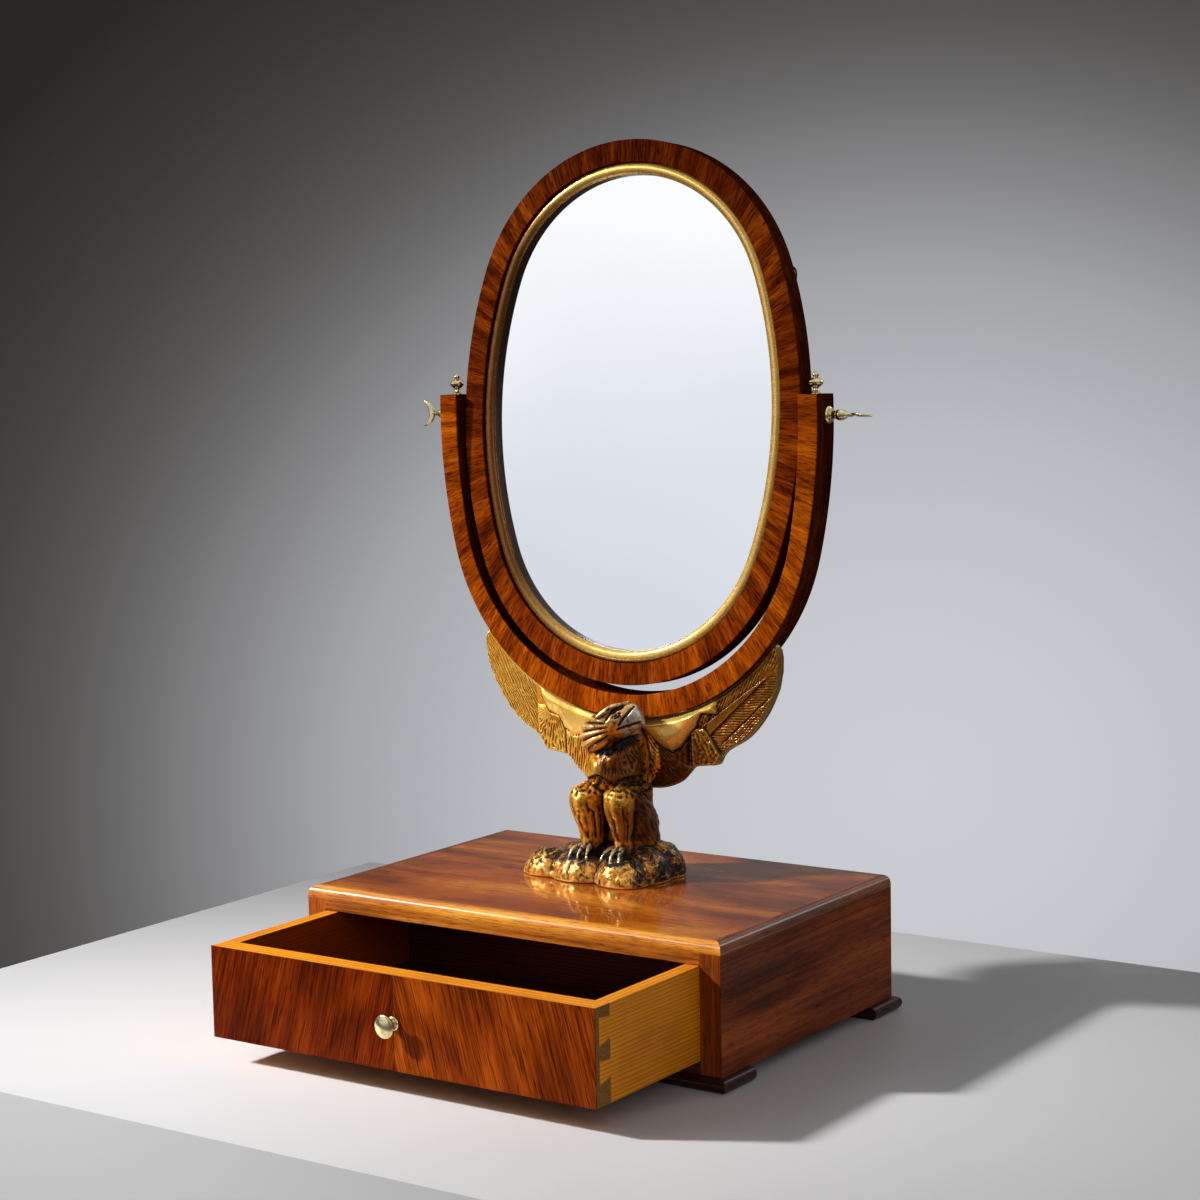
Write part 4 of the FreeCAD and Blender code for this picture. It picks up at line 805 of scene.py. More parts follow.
eagle = {
    "trunk": [(-1, 42, 132, 21, 19), (-1, 42, 146, 21.5, 20), (-1, 42, 160, 22.5, 21.5),
              (-1, 40, 174, 25, 23.5), (-1.5, 37, 188, 27, 25.5), (-2, 35, 200, 28, 25.5),
              (-2, 35, 212, 27.5, 24.5), (-2, 35, 224, 25, 21), (-1, 34, 236, 19, 16.5)],
    "mane": [(-22, 19.5, 230, 8.5, 10), (-20, 19.5, 230, 13, 13.5), (-14, 19, 231.5, 16, 15),
             (-7, 19, 234.5, 17, 16.2), (0, 19, 238.5, 16.5, 17), (6, 19.5, 241, 15.2, 17),
             (13, 19.5, 243.8, 13.2, 15.4), (18, 20, 245.2, 11, 13.8), (22, 20, 246.5, 8.8, 12.2)],
    "beak": [(15, 20, 246, 8.5, 11.5), (22, 20, 247, 7.4, 12), (27, 20, 247.8, 5.8, 10.4),
             (30.8, 20, 246.8, 4.0, 7.4), (33.4, 20, 244.6, 2.4, 5.0), (34.6, 20, 241.4, 0.9, 2.2)],
    "shoulders": [(-37, 54, 209, 2, 6), (-30, 53, 210, 7, 15), (-14, 51, 212, 12, 25), (14, 51, 212, 12, 25),
                  (30, 53, 210, 7, 15), (37, 54, 209, 2, 6)],
    "tail": [(0, 55, caseTop, 27, 7), (0, 55, 140, 25.5, 7), (0, 53, 162, 21.5, 9), (0, 49, 182, 17, 11)],
    "feet": {"left": -12.5, "right": 19.5}, "knees": {"left": -18.0, "right": 17.0},
    "shank": [(0.0, 12, 136, 6.0, 10.5), (0.0, 11, 146.5, 7.2, 12), (0.15, 9.5, 154.5, 9.3, 13.2),
              (0.45, 8.5, 163.5, 11.5, 14), (0.75, 7.5, 172.5, 13, 14.5), (0.9, 8, 181.5, 13, 14),
              (1.0, 9.5, 188.0, 9.5, 10.5), (1.0, 10.5, 190.5, 4, 5)],
    "ankle": [(6, 156, 4.4), (2.5, 149, 3.9), (1.5, 141, 3.6), (3, 136, 3.4)], "toeSpread": (-7.5, 0, 7.5),
    "toe": [(0.2, 4, 140.5, 2.3), (0.75, -3, 140.3, 2.1), (1, -8, 138, 1.9), (1.15, -11.5, 133.5, 1.4),
            (1.2, -12.5, 131, 0.8)],
    "hip": [(12, 34, 188, 9, 9), (17, 30, 190, 11, 11)], "kneecap": [(20, 186, 10, 10), (13, 181, 6, 6)],
    "haunch": [(19.5, 33, 132, 12.5, 20), (20, 32, 145, 14, 21.5), (20, 30, 158, 14.5, 22),
               (19, 26, 170, 14, 20), (18, 20, 180, 12.5, 15), (17.5, 16, 187, 8, 9)],
    "brow": [(-3, 19, 15.0, 247.5, 1.2), (3, 19.2, 12.2, 252, 2.3), (9, 19.5, 9.4, 256, 2.5),
             (16, 20, 5.4, 258.4, 1.7)],
    "lid": [(10, 19.5, 13.6, 247.4, 0.9), (14.5, 19.7, 12.2, 246.6, 1.3), (18.5, 20, 9.6, 249.2, 0.9)],
    "eye": (14.4, 250), "eyeDepth": (19.7, 11.2), "eyeRadii": (2.6, 1.8, 1.8), "eyeTip": 25,
    "browLine": ([4, 6.5, 9.7, 17, 21], [243.5, 247, 252, 256.6, 258]), "cere": (17.5, 243),
    "gape": (16, 238.6), "cheek": (24, 243), "hem": 197,
    "jaw": ([-18, -11, 3, 13, 25, 34], [217, 217.4, 222.2, 228, 235.6, 242]),
    "rock": [((-49, 5, 113), (27, 18, 21), 10, -8), ((-17, 4, 114), (29, 24, 23), 4, 0),
             ((23, 1, 114), (27, 22, 23), -32, 0), ((33, 20, 114), (21, 25, 25), 0, 0),
             ((29, 42, 115), (26, 22, 27), 30, 0), ((-38, 33, 114), (30, 25, 22), -12, 0),
             ((-4, 23, 117), (44, 31, 22), 0, 0)],
    # how much painted shade darkens each leg
    "legShade": {"left": 0.35, "right": 0.75}, "voxel": 0.85, "rounds": 3,
}


def meltedMesh(name, surfaces, voxel, rounds):
    # voxel remesh turns the crossing shells into one skin, which is then eased
    rough = bpy.data.objects.new(name + "Shells", closedMesh(name + "Shells", surfaces))
    scene.collection.objects.link(rough)
    melt = rough.modifiers.new("melt", "REMESH")
    melt.mode, melt.voxel_size = "VOXEL", voxel * mm
    settle = rough.modifiers.new("settle", "SMOOTH")
    settle.factor, settle.iterations = 0.5, rounds
    bpy.context.view_layer.update()
    shape = bpy.data.meshes.new_from_object(rough.evaluated_get(bpy.context.evaluated_depsgraph_get()))
    shells = rough.data
    bpy.data.objects.remove(rough)
    bpy.data.meshes.remove(shells)
    shape.name = name
    return shape


def pointsOf(mesh):
    # places in millimetres and normals of the mesh's points
    co, normal = np.empty(len(mesh.vertices) * 3), np.empty(len(mesh.vertices) * 3)
    mesh.vertices.foreach_get("co", co)
    mesh.vertices.foreach_get("normal", normal)
    return co.reshape(-1, 3) / mm, normal.reshape(-1, 3)


def putBack(mesh, points):
    mesh.vertices.foreach_set("co", (points * mm).ravel())
    mesh.update()


def settled(mesh, points, rounds):
    # every point goes half way to the average of its neighbours, several times over
    ends = np.empty(len(mesh.edges) * 2, int)
    mesh.edges.foreach_get("vertices", ends)
    a, b = ends.reshape(-1, 2).T
    count = np.bincount(a, minlength=len(points)) + np.bincount(b, minlength=len(points))
    for _ in range(rounds):
        total = np.stack([np.bincount(a, points[b, k], len(points)) + np.bincount(b, points[a, k], len(points))
                          for k in range(3)], -1)
        points = 0.5 * points + 0.5 * total / count[:, None]
    return points


def hollows(mesh, rounds, reach):
    # how far the skin lies under the average of its surroundings: 0 for a ridge, 0.5 level, 1 for a hollow
    points, normal = pointsOf(mesh)
    depth = np.einsum("ij,ij->i", settled(mesh, points, rounds) - points, normal)
    return np.clip(0.5 + 0.5 * depth / reach, 0, 1)


def furrow(phase, sharp):
    # 1 in the bottom of each cut, one cut for each whole number of the phase
    return (0.5 + 0.5 * np.cos(2 * np.pi * phase)) ** sharp


def eagleShells():
    # trunk, head and tail, then each leg with its toes, each side of the face, and the boulders
    shells = [limb(eagle["trunk"], "z", 90), limb(eagle["mane"], "x", 90), limb(eagle["beak"], "x", 60, 48),
              limb(eagle["tail"], "z", 60), limb(eagle["shoulders"], "x", 40)]
    for side, out in (("left", -1), ("right", 1)):
        ankle, knee = eagle["feet"][side], eagle["knees"][side]
        shells.append(limb([(ankle + (knee - ankle) * t, *rest) for t, *rest in eagle["shank"]], "z", 70))
        shells.append(stick([(ankle, *rest) for rest in eagle["ankle"]]))
        for spread in eagle["toeSpread"]:
            shells.append(stick([(ankle + spread * share, *rest) for share, *rest in eagle["toe"]]))
        hip, haunch = ([(out * x, *rest) for x, *rest in eagle[part]] for part in ("hip", "haunch"))
        shells.append(limb(hip + [(knee, *rest) for rest in eagle["kneecap"]], "z", 20))
        shells.append(limb(haunch, "z", 60))
    for face in (-1, 1):
        brow, lid = ([(x, y + face * out, z, r) for x, y, out, z, r in eagle[part]] for part in ("brow", "lid"))
        (eyeX, eyeZ), (depth, out) = eagle["eye"], eagle["eyeDepth"]
        eyeball = lobe((eyeX, depth + face * out, eyeZ), eagle["eyeRadii"], 0, eagle["eyeTip"])
        shells += [stick(brow), eyeball, stick(lid)]
    return shells + [lobe(*boulder) for boulder in eagle["rock"]]


def carveEagle():
    # the skin is pushed in and out along its normals; shares from 0 to 1 say where each kind of cut lies
    mesh = meltedMesh("eagle", eagleShells(), eagle["voxel"], eagle["rounds"])
    points, _ = pointsOf(mesh)
    x, y, z = points.T
    # the boulders run into each other; the toes on them keep their edges
    toes = ease(y, 8, 4) * between(z, 128, 131, 142, 145) * np.maximum(
        *[ease(np.abs(x - ankle), 15, 12) for ankle in eagle["feet"].values()])
    melted = ease(z, 142, 136) * (1 - toes)
    putBack(mesh, points + melted[:, None] * (settled(mesh, points, 10) - points))
    points, normal = pointsOf(mesh)
    x, y, z = points.T
    push = np.zeros(len(points))
    wobble = softNoise(points, 7.0, 3)
    # neck feathers: broad flutes that fan back from the cheek and end in a cut edge above the throat
    fan = np.degrees(np.arctan2(z - eagle["cheek"][1], eagle["cheek"][0] - x))
    below = np.interp(x, *eagle["jaw"]) - z
    mane = between(x, -26, -21, 1, 9) * ease(below, 0.5, -1.5) * ease(fan, 9, 5) * (y < 40)
    push += mane * (1.0 - 2.6 * furrow(fan / 10.6 + 0.06 * wobble, 1.8)
                    - 0.5 * furrow(fan / 3.53 + 0.2 * wobble, 1.4))
    throat = between(below, -0.6, 1.2, 2, 13) * ease(x, -15, -5) * ease(y, 36, 28) * (z > 206)
    push -= 2.2 * throat
    # groove under the brow, cere line, mouth and eyes
    cheek = np.abs(y - 20) > 2.0
    brow = np.abs(z - np.interp(x, *eagle["browLine"])) * 0.6
    push -= 1.5 * ease(brow, 1.6, 0.5) * between(x, 4.5, 6.5, 16, 20) * cheek
    cere = (x - eagle["cere"][0]) * 0.85 - (z - eagle["cere"][1]) * 0.52
    push -= 1.2 * ease(np.abs(cere), 1.5, 0.5) * ease(x, 15, 17) * cheek * ease(z, 239, 241)
    gape = np.abs((z - eagle["gape"][1]) - (x - eagle["gape"][0]) * 0.36)
    push -= 1.5 * ease(gape, 1.6, 0.5) * between(x, 13.5, 16, 31, 34)
    eyeX, eyeZ = x - eagle["eye"][0], z - eagle["eye"][1]
    socket = np.hypot(eyeX * 0.9 + eyeZ * 0.42, (eyeZ * 0.9 - eyeX * 0.42) * 1.5)
    eyes = np.abs(y - 19.5) > 7
    push -= 1.3 * ease(socket, 4.4, 3.2) * ease(socket, 2.3, 3.0) * eyes
    # breast: short strokes that fall from the throat to a lobed hem, then a belt of curled feathers
    breast = between(z, 196, 201, 226, 236) * (np.abs(x + 2) < 32) * (1 - mane)
    strokes = np.arctan2(x + 2, 262 - z) * 160 / math.tau + 0.6 * wobble
    broken = ease(softNoise(points * [1, 1, 0.4], 3.4, 5), -0.2, 0.4)
    push += breast * (0.45 * softNoise(points * [1, 1, 0.5], 2.4, 6) - 0.6 * furrow(strokes, 1.4) * broken)
    hem = z - eagle["hem"] - 2.2 * np.cos((x + 6) / 4.6)
    push += 1.6 * ease(y, 34, 26) * between(hem, -0.8, 0.8, 1, 11) * (np.abs(x) < 30)
    belt = ease(z, 180, 184) * ease(hem, 0.5, -1.5) * (np.abs(x) < 34)
    push += belt * (1.5 * softNoise(points, 3.8, 11) + 0.6 * softNoise(points, 2.0, 12))
    # shanks: long grooves that gather toward the feet, and painted shade on each leg
    legShading = np.zeros(len(points))
    for side, shadeLevel in eagle["legShade"].items():
        ankle, knee = eagle["feet"][side], eagle["knees"][side]
        middle = ankle + (knee - ankle) * ease(z, 148, 180)
        leg = ease(np.abs(x - middle), 16, 13) * between(z, 144, 150, 170, 184) * ease(y, 27, 20)
        turn = np.arctan2(x - middle, 9 - y) / math.tau
        # painted shade on the legs, heavier on the right leg
        legShading += leg * shadeLevel
        push -= leg * (1.3 * furrow(turn * 7 + 0.014 * (z - 160) + 0.3 * wobble, 1.6)
                       + 0.5 * furrow(turn * 19 + 0.5 * wobble, 1.4) * broken)
    # thighs, flanks and tail: long strokes that fall backward from the knee
    flank = ease(np.abs(x), 21, 26) * ease(y, 6, 14) * between(z, 138, 146, 184, 194)
    slant = softNoise(np.stack([x, (z + 1.15 * y) / 1.5, (y - z) / 9], -1), 2.2, 8)
    push += flank * (0.7 * slant + 0.7 * softNoise(points, 9.0, 9))
    rear = ease(y, 46, 52) * between(z, 138, 146, 190, 204)
    push -= 0.9 * rear * furrow(x / 5.6 + 0.25 * wobble, 1.5)
    # rock: broad dents; everything: the knife's unevenness
    stone = between(z, caseTop + 0.1, caseTop + 2.5, 136, 143)
    push += stone * (1 - toes) * (1.2 * softNoise(points, 13.0, 21) + 0.6 * softNoise(points, 6.0, 22)
                                  + 0.35 * softNoise(points, 3.0, 23))
    push += 0.2 * softNoise(points, 2.6, 31) * (z > caseTop + 1)
    carved = points + normal * push[:, None]
    carved[:, 2] = np.maximum(carved[:, 2], caseTop)
    putBack(mesh, carved)
    # where the finish is dark in hollows, old, bare, or darkened as painted shade
    pupil = ease(socket, 2.2, 1.5) * eyes * (z > 244)
    # dark in the hollows: fine grooves show the dark ground, broad recesses between the legs and under the
    # wings get painted shade, and the throat under the head gets painted shadow
    shade = np.maximum(hollows(mesh, 12, 0.5), hollows(mesh, 110, 5.0) - 0.05)
    note(mesh, "hollow_and_shade", np.maximum(shade + 0.25 * throat * ease(x, -12, 4), pupil))
    bill = ease(cere, -0.5, 0.8) * ease(x, 15, 17) * ease(below, 0.6, -0.6)
    crown = ease(z, 228, 238) * ease(fan, -14, 2)
    upward, rightward = ease(normal[:, 2], 0.35, 0.95), ease(normal[:, 0], 0.5, 0.95)
    # the rock is speckled darker on its top, and on its right side as painted shade, the side turned from the
    # key lamp
    weatheredAndShaded = stone * (0.34 + 0.42 * upward + 0.4 * rightward)
    knees = ease(y, 8, 0) * between(z, 168, 176, 190, 195)
    age = (0.05 + weatheredAndShaded + 0.3 * crown * (1 - bill) + 0.2 * bill + 0.35 * flank + 0.25 * toes
           + 0.35 * knees)
    silver = 0.9 * bill + 0.35 * np.maximum(crown, 0.8 * mane) + 0.14 * stone + 0.45 * toes
    # painted shade on the chest's right part, the right flank and the legs; the toes are darker in their own
    # tone
    chest = (between(z, 184, 194, 228, 240) * ease(y, 38, 28) * (1 - mane) * ease(x, -16, -2)
             * ease(fan, -8, -14))
    shade_and_tone = chest + 0.8 * flank * (x > 0) + 0.5 * toes + legShading
    for name, values in (("age", age), ("silver", silver), ("shade_and_tone", shade_and_tone)):
        note(mesh, name, np.clip(values, 0, 1))
    return mesh


wing = {
    "middle": 420.1, "inner": 177.9, "front": 46.0, "rows": 360, "cols": 120, "start": 0.004, "end": 52.3,
    "edgeBase": 242.5,
    "edge": [(0, -57), (20, -59), (36, -57), (50, -51), (57, -44), (63, -38), (74, -36), (86, -34), (90, -27),
             (96, -21), (114, -10), (130, 8), (139, 24), (144, 38), (146, 56), (143.5, 66), (141, 69)],
    "quill": ((78, 237), (134, 283)), "rim": ((92, 226), (135, 265)), "covert": ((75.6, 238.7), (90.9, 215.4)),
    "hang": {"left": ([0, 36, 50, 55, 65, 70, 80, 88], [228, 230, 224, 224, 229, 239.5, 242.5, 256]),
             "right": ([0, 16, 22, 28, 36, 44.4, 52.6, 60.8, 68, 74],
                       [240, 236, 231, 226, 220, 216.7, 221.5, 231.8, 239.2, 251])},
    # the left wing is lightened as painted light on the side toward the key lamp, and the right wing is
    # darkened as painted shade
    "swell": {"left": 2.4, "right": 7.5}, "rubbed": {"left": 0.2, "right": 0.36},
    "bright": {"left": 0.11, "right": 0.0}, "shade_and_tone": {"left": 0.0, "right": 1.0}, "age": -0.25,
}


def alongLine(x, z, start, end):
    # share of the way along a straight feather, and distance to its left in millimetres
    dx, dz = end[0] - start[0], end[1] - start[1]
    length = math.hypot(dx, dz)
    return (((x - start[0]) * dx + (z - start[1]) * dz) / length ** 2,
            ((z - start[1]) * dx - (x - start[0]) * dz) / length)


def knifeCuts(x, z, degrees, pitch, seed):
    # parallel strokes in a direction, wavering a little and broken along their length
    length, across = spun(x, z, -degrees)
    waver = softNoise(np.stack([x, z, np.full_like(x, seed * 3.0)], -1), pitch * 3, seed)
    gaps = softNoise(np.stack([length / 3.2, across, np.full_like(x, seed * 5.0)], -1), pitch, seed + 1)
    return furrow(across / pitch + 0.3 * waver, 1.5) * ease(gaps, -0.7, 0.1)


def rightFeathers(x, z, flat):
    # one large feather with a broad flat quill, and barbs on both sides of it
    rough = softNoise(flat, 2.4, 44)
    share, across = alongLine(x, z, *wing["quill"])
    wide = 4.6 * (1 - 0.9 * np.clip(share, 0, 1))
    quill = ease(np.abs(across), wide + 0.5, wide - 0.4) * between(share, -0.06, 0.0, 0.9, 1.04)
    barbs = (0.4 * ease(across, 0.5, 2.5) * knifeCuts(x, z, 66, 2.4, 51)
             + 0.42 * ease(across, -0.5, -2.5) * knifeCuts(x, z, 4, 2.2, 52))
    rise = 1.7 * quill - ease(share, -0.1, 0.02) * (1 - quill) * (barbs - 0.2 * rough)
    # feather along the rim
    share, across = alongLine(x, z, *wing["rim"])
    rim = ease(across, 0.6, -0.6) * ease(share, -0.1, 0.0)
    rise += rim * (1.3 - 0.2 * knifeCuts(x, z, 46, 2.4, 53) + 0.15 * rough)
    rise -= 0.9 * ease(np.abs(across - 0.8), 1.1, 0.3) * between(share, 0.0, 0.1, 0.9, 1.05)
    # ragged covert with a pointed corner, and a tuft above it
    _, edge = alongLine(x, z, *wing["covert"])
    block = ease(x, 62.0, 64.5) * ease(edge, 1.2, -1.0) * ease(z, 240, 236)
    tuft = ease(np.hypot((x - 73.5) / 6.5, (z - 250) / 11.5), 1.1, 0.75)
    ragged = (0.45 * rough + 0.3 * softNoise(flat, 1.5, 47)
              - 0.4 * knifeCuts(x, z, 112, 4.0, 54) * ease(z, 212, 222))
    rise += np.maximum(3.2 * block, 2.2 * tuft) + np.maximum(block, tuft) * ragged
    # inner part under the shoulder: slanting strokes, and a dark hollow next to the covert
    inner = ease(x, 62, 58) * ease(z, 226, 218)
    dome = ease(np.hypot((x - 36) / 26, (z - 200) / 20), 1.05, 0.5)
    rise += inner * (1.6 * dome + 0.5 * rough - 0.45 * knifeCuts(x, z, -38, 2.2, 56) * ease(x, 50, 42))
    return rise - 3.0 * ease(np.abs(x - 59.5), 4.5, 1.5) * between(z, 203, 208, 228, 236)


def leftFeathers(x, z, flat):
    # long strokes run along the wing to its tip, fanned coverts end in a round lobe, inner lobe by the body
    outer = ease(x, 91, 94)
    rise = -0.7 * outer * np.maximum(knifeCuts(x, z, 57, 2.0, 61), 0.8 * knifeCuts(x, z, 66, 2.9, 62))
    fan = np.degrees(np.arctan2(x - 74, 249 - z))
    flutes = furrow(fan / 6.0 + 0.45 * softNoise(flat, 5.0, 45), 1.3)
    flutes = flutes * ease(softNoise(flat, 3.0, 46), -0.5, 0.2)
    rise += (1 - outer) * ease(x, 62, 65) * ease(z, 249, 244) * (1.3 - 0.6 * flutes)
    rise += ease(x, 64.5, 62.5) * ease(z, 230, 224) * (2.0 - 0.6 * knifeCuts(x, z, 97, 2.4, 63))
    return rise - 1.3 * ease(np.abs(x - 63.6), 1.3, 0.4) * ease(z, 229, 224)


def wingRelief(x, z, side):
    # how far the carving stands out toward the front, in millimetres, and where it is the smooth shoulder
    flat = np.stack([x, z, np.zeros_like(x)], -1)
    feathers = leftFeathers(x, z, flat) if side == "left" else rightFeathers(x, z, flat)
    rise = 0.3 * softNoise(flat, 4.0, 41) + 0.5 * softNoise(flat, 13.0, 42) + feathers
    # the shoulder swells under the yoke as a quarter circle, with a soft groove along its lower edge
    above = z - np.interp(x, *wing["hang"][side])
    shoulder = ease(above, -0.6, 1.2) * ease(x, 90, 84)
    dome = wing["swell"][side] * np.sqrt(1 - (1 - np.clip(above / 14.0, 0, 1)) ** 2) * ease(above, 60, 10)
    groove = 0.9 * ease(np.abs(above + 0.8), 1.4, 0.3) * ease(x, 86, 80)
    return rise * (1 - shoulder) + shoulder * (dome + 0.6 * softNoise(flat, 9.0, 43)) - groove, shoulder


def carveWing(side, sign):
    # rows go out along the wing, columns from the yoke to the feather tips and back behind; the front carries
    # the relief, and dips under the yoke's edge
    ax, az = np.array(wing["edge"], float).T
    reach = wing["middle"] - wing["edgeBase"] - az
    rimTurn, rimReach = smoothLine(np.stack([np.arctan2(ax, reach), np.hypot(ax, reach)], -1), 240).T
    end = math.radians(wing["end"])
    turn = np.linspace(wing["start"], end, wing["rows"])[:, None]
    share = np.linspace(0, 1, wing["cols"])[None]
    under = (np.interp(turn, rimTurn, rimReach) - wing["inner"]) * share
    radius = wing["inner"] + under
    x, z = radius * np.sin(turn), wing["middle"] - radius * np.cos(turn)
    edge = np.minimum(ease(share, 1.0, 0.965), ease(turn, end, end - math.radians(1.0)))
    drop = np.clip((radius - 186) / 50, 0, 1)
    level = wing["front"] + 4.5 * drop
    relief = wingRelief(x, z, side)[0] * edge * ease(under, 0.5, 7)
    thick = 4.5 + 15.0 * (1 - drop) * (1 - 0.6 * ease(turn, math.radians(30), math.radians(52)))
    rear = level + thick - 1.5 * (1 - edge) ** 2 + 0.9 * knifeCuts(x, z, 58, 5.0, 71) * edge
    face = np.minimum(level - relief + 2.2 * ease(under, 3.0, 1.0) + 2.5 * (1 - edge) ** 2, rear - 1.0)
    front, back = (np.stack([sign * x, depth, z], -1) for depth in (face, rear))
    mesh = closedMesh(f"wing{side}", [(closedRows(np.concatenate([front, back[:, ::-1]], 1)), False, True)])
    points, _ = pointsOf(mesh)
    _, smooth = wingRelief(np.abs(points[:, 0]), points[:, 2], side)
    shade = np.maximum(hollows(mesh, 10, 0.38), hollows(mesh, 90, 3.5) - 0.08)
    # dark in the hollows, broad recesses as painted shade; the smooth shoulder is rubbed lighter, and the left
    # wing is lightened as painted light
    note(mesh, "hollow_and_shade", shade - wing["rubbed"][side] * smooth - wing["bright"][side])
    note(mesh, "silver", np.zeros(len(points)))
    note(mesh, "age", np.full(len(points), wing["age"]))
    # painted shade darkens the right wing outside its shoulder
    note(mesh, "shade_and_tone", wing["shade_and_tone"][side] * (1 - smooth) * (0.75 + 0.25 * ease(points[:, 0], 64, 56)))
    return mesh


piece("eagleCarving", carveEagle(), "stand", carvedGilding, ["eagle"], 180)
piece("wingLeft", carveWing("left", -1), "stand", carvedGilding, ["eagle_wing_left"], 180)
piece("wingRight", carveWing("right", 1), "stand", carvedGilding, ["eagle_wing_right"], 180)


# Stage, light and camera

stage = {"left": -0.555, "right": 1.25, "front": -0.412, "back": 0.372, "thick": 0.5}
table = bpy.data.objects.new("table", bpy.data.meshes.new("table"))
x0, x1, y0, y1, z0 = stage["left"], stage["right"], stage["front"], stage["back"], -stage["thick"]
table.data.from_pydata([(x, y, z) for z in (z0, 0.0) for x, y in ((x0, y0), (x1, y0), (x1, y1), (x0, y1))], [],
                       [(3, 2, 1, 0), (4, 5, 6, 7), (0, 1, 5, 4), (1, 2, 6, 5), (2, 3, 7, 6), (3, 0, 4, 7)])
scene.collection.objects.link(table)
table.data.materials.append(Finish("table_top", Roughness=0.5, Base_Color=(221, 220, 220)).material)


def placed(name, data, spot, back, roll=0.0):
    # a camera or lamp at a spot that faces away from a direction, turned about it by the roll in degrees
    back = unit(np.array(back, float))
    right = unit(np.cross([0, 0, 1], back))
    up = np.cross(back, right)
    c, s = math.cos(math.radians(roll)), math.sin(math.radians(roll))
    made = bpy.data.objects.new(name, data)
    turn = np.eye(4)
    turn[:3] = np.stack([c * right + s * up, c * up - s * right, back, spot], -1)
    made.matrix_world = Matrix(turn.tolist())
    scene.collection.objects.link(made)
    return made


camera = {"lens": 75.35, "sensor": 36.0, "clip": 0.05, "azimuth": 34.4886, "elevation": 6.1009, "roll": -1.0933,
          "distance": 2.0456, "target": (0.0064, 0.0, 0.3457)}
az, el = math.radians(camera["azimuth"]), math.radians(camera["elevation"])
back = np.array([math.sin(az) * math.cos(el), -math.cos(az) * math.cos(el), math.sin(el)])
data = bpy.data.cameras.new("camera")
data.lens, data.sensor_width, data.clip_start = camera["lens"], camera["sensor"], camera["clip"]
spot = np.array(camera["target"]) + back * camera["distance"]
scene.camera = placed("camera", data, spot, back, camera["roll"])

lamps = {
    "key": {"spot": (-2.27, -1.55, 1.86), "aim": (-0.05, -0.16, 0.0), "size": (0.22, 0.22), "power": 5.0,
            "spread": 31},
    "strip": {"spot": (-1.35, -1.75, 1.45), "aim": (0.0, 0.0, 0.15), "size": (0.75, 0.12), "power": 5.0,
              "spread": 180},
    "rear": {"spot": (1.0, 2.2, 1.7), "aim": (0.0, 0.1, 0.46), "size": (0.9, 0.9), "power": 0.26,
             "spread": 36},
    "fill": {"spot": (2.2, -1.7, 1.3), "aim": (0.0, 0.0, 0.3), "size": (1.5, 1.5), "power": 7.6,
             "spread": 180},
}
for name, lamp in lamps.items():
    data = bpy.data.lights.new(name, "AREA")
    data.shape, (data.size, data.size_y) = "RECTANGLE", lamp["size"]
    data.energy, data.spread = lamp["power"], math.radians(lamp["spread"])
    placed(name, data, lamp["spot"], np.subtract(lamp["spot"], lamp["aim"]))

studio = {"ambient": 0.125, "pool": (-0.4531, 0.8735, -0.1782), "view": (-0.563, 0.8196, -0.1063),
          "front": (-0.561, -0.823, 0.085), "wide": 1.15, "lower": -0.125}


class Sky(Finish):
    # the world as the same kind of chain of nodes
    def __init__(self, name):
        scene.world = bpy.data.worlds.new(name)
        scene.world.use_nodes = True
        self.tree = scene.world.node_tree
        self.tree.nodes.clear()

    def toward(self, way, spot):
        return self.node("VectorMath", {0: way, 1: tuple(spot)}, operation="DOT_PRODUCT").outputs["Value"]


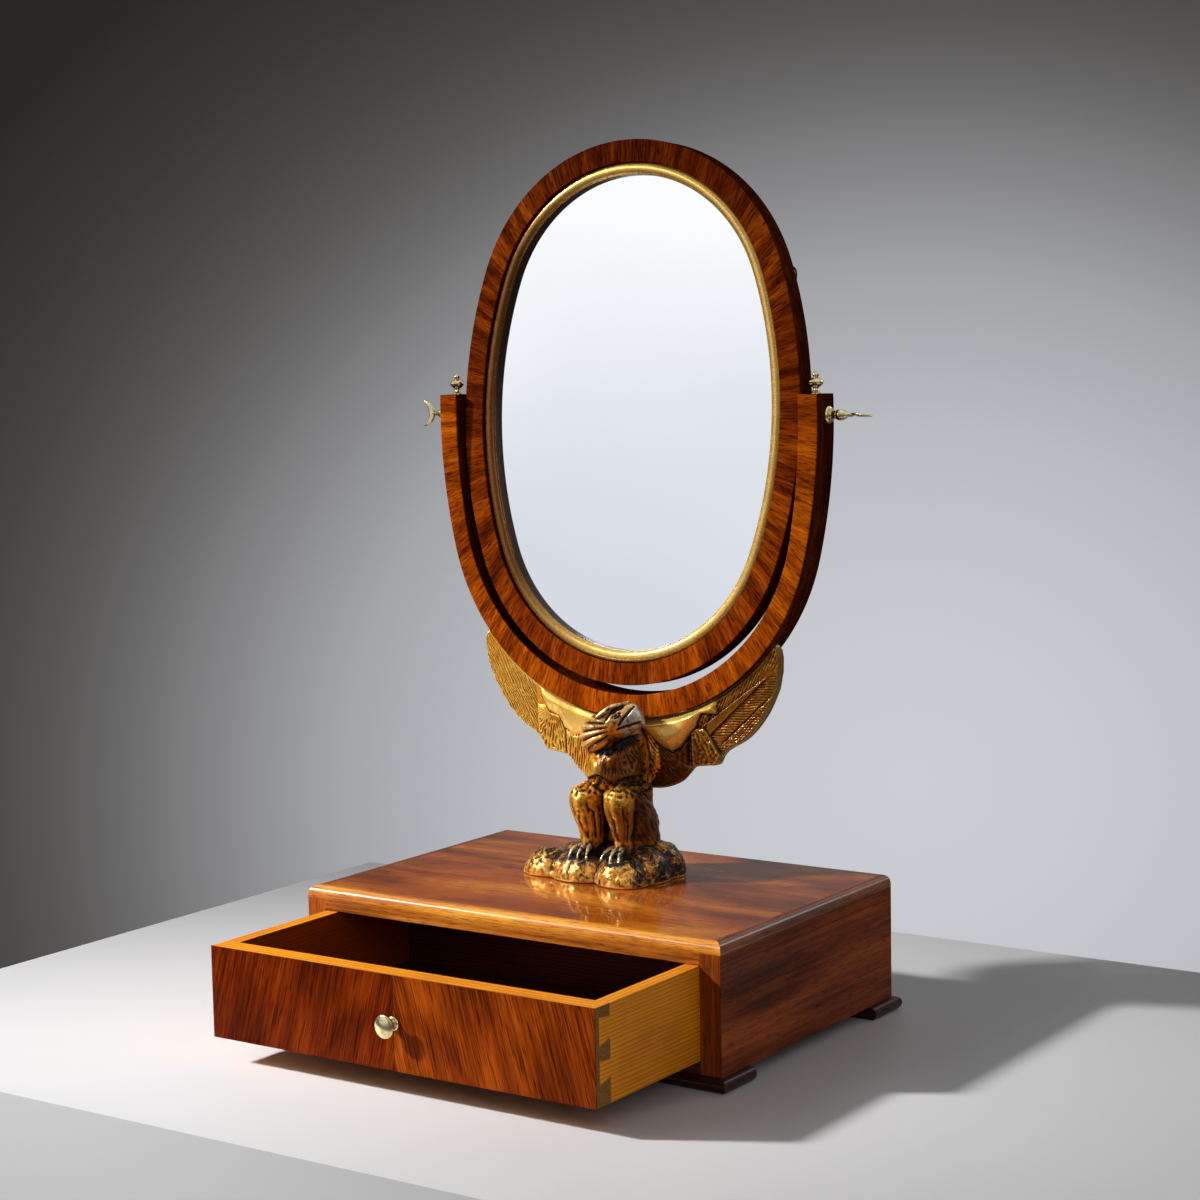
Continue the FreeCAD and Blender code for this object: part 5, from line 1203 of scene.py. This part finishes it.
# a pale pool of light behind the glass fades to dark at the left and above; other ways round it is plain grey.
# The backdrop is near, so polished faces mirror it from lower down than the bare direction says
sky = Sky("studio")
direction = sky.node("TexCoord").outputs["Generated"]
rise = sky.split(direction)[2]
path = sky.node("LightPath").outputs
lower = sky.join(0.0, 0.0, sky.times(path["Is Glossy Ray"], studio["lower"]))
sunk = sky.node("VectorMath", {0: direction, 1: lower}, operation="ADD").outputs[0]
poolAcross = unit(np.cross(studio["pool"], [0, 0, 1]))
poolUp = unit(np.cross(poolAcross, studio["pool"]))
depth = sky.toward(sunk, studio["pool"])
across = sky.math("DIVIDE", sky.toward(sunk, poolAcross / studio["wide"]), depth)
upward = sky.math("DIVIDE", sky.toward(sunk, poolUp), depth)
far = sky.math("SQRT", sky.times(across, across, sky.times(upward, upward)))
backdrop = sky.ramp(sky.times(far, 2.0), (0.0, (205, 206, 211)), (0.16, (198, 199, 204)),
                    (0.28, (186, 187, 192)), (0.4, (163, 164, 168)), (0.48, (136, 136, 138)),
                    (0.56, (105, 104, 104)), (0.615, (87, 85, 84)), (0.68, (71, 68, 67)),
                    (0.75, (58, 55, 54)), (0.87, (41, 38, 37)))
behind = sky.ramp(sky.toward(direction, studio["view"]), (0.76, 0.0), (0.9, 1.0))
room = sky.ramp(sky.times(rise, 0.5, 0.5), (0.38, (92, 92, 93)), (0.52, (118, 118, 120)),
                (0.78, (182, 183, 186)), (1.0, (238, 239, 242)))
plain = sky.mix(behind, sky.mix(path["Is Glossy Ray"], (132, 133, 136), room), backdrop)
level = sky.times(sky.noise(direction, 9.0, 1.0, 0.4), 0.09, rise)
bright = sky.ramp(level, (0.03, (217, 220, 229)), (0.11, (231, 234, 241)), (0.19, (255, 255, 255)))
ahead = sky.ramp(sky.toward(direction, studio["front"]), (0.945, 0.0), (0.972, 1.0))
shown = sky.math("MAXIMUM", path["Is Camera Ray"], sky.math("MAXIMUM", path["Is Glossy Ray"],
                                                           path["Is Transmission Ray"]))
light = sky.node("Background", {"Color": (250, 251, 255), "Strength": studio["ambient"]}).outputs[0]
view = sky.node("Background", {"Color": sky.mix(ahead, plain, bright), "Strength": 1.0}).outputs[0]
sky.node("OutputWorld", {"Surface": sky.node("MixShader", {0: shown, 1: light, 2: view}).outputs[0]})

scene.view_settings.view_transform = "Standard"
print("stage, lamps and camera set")
bpy.context.view_layer.update()
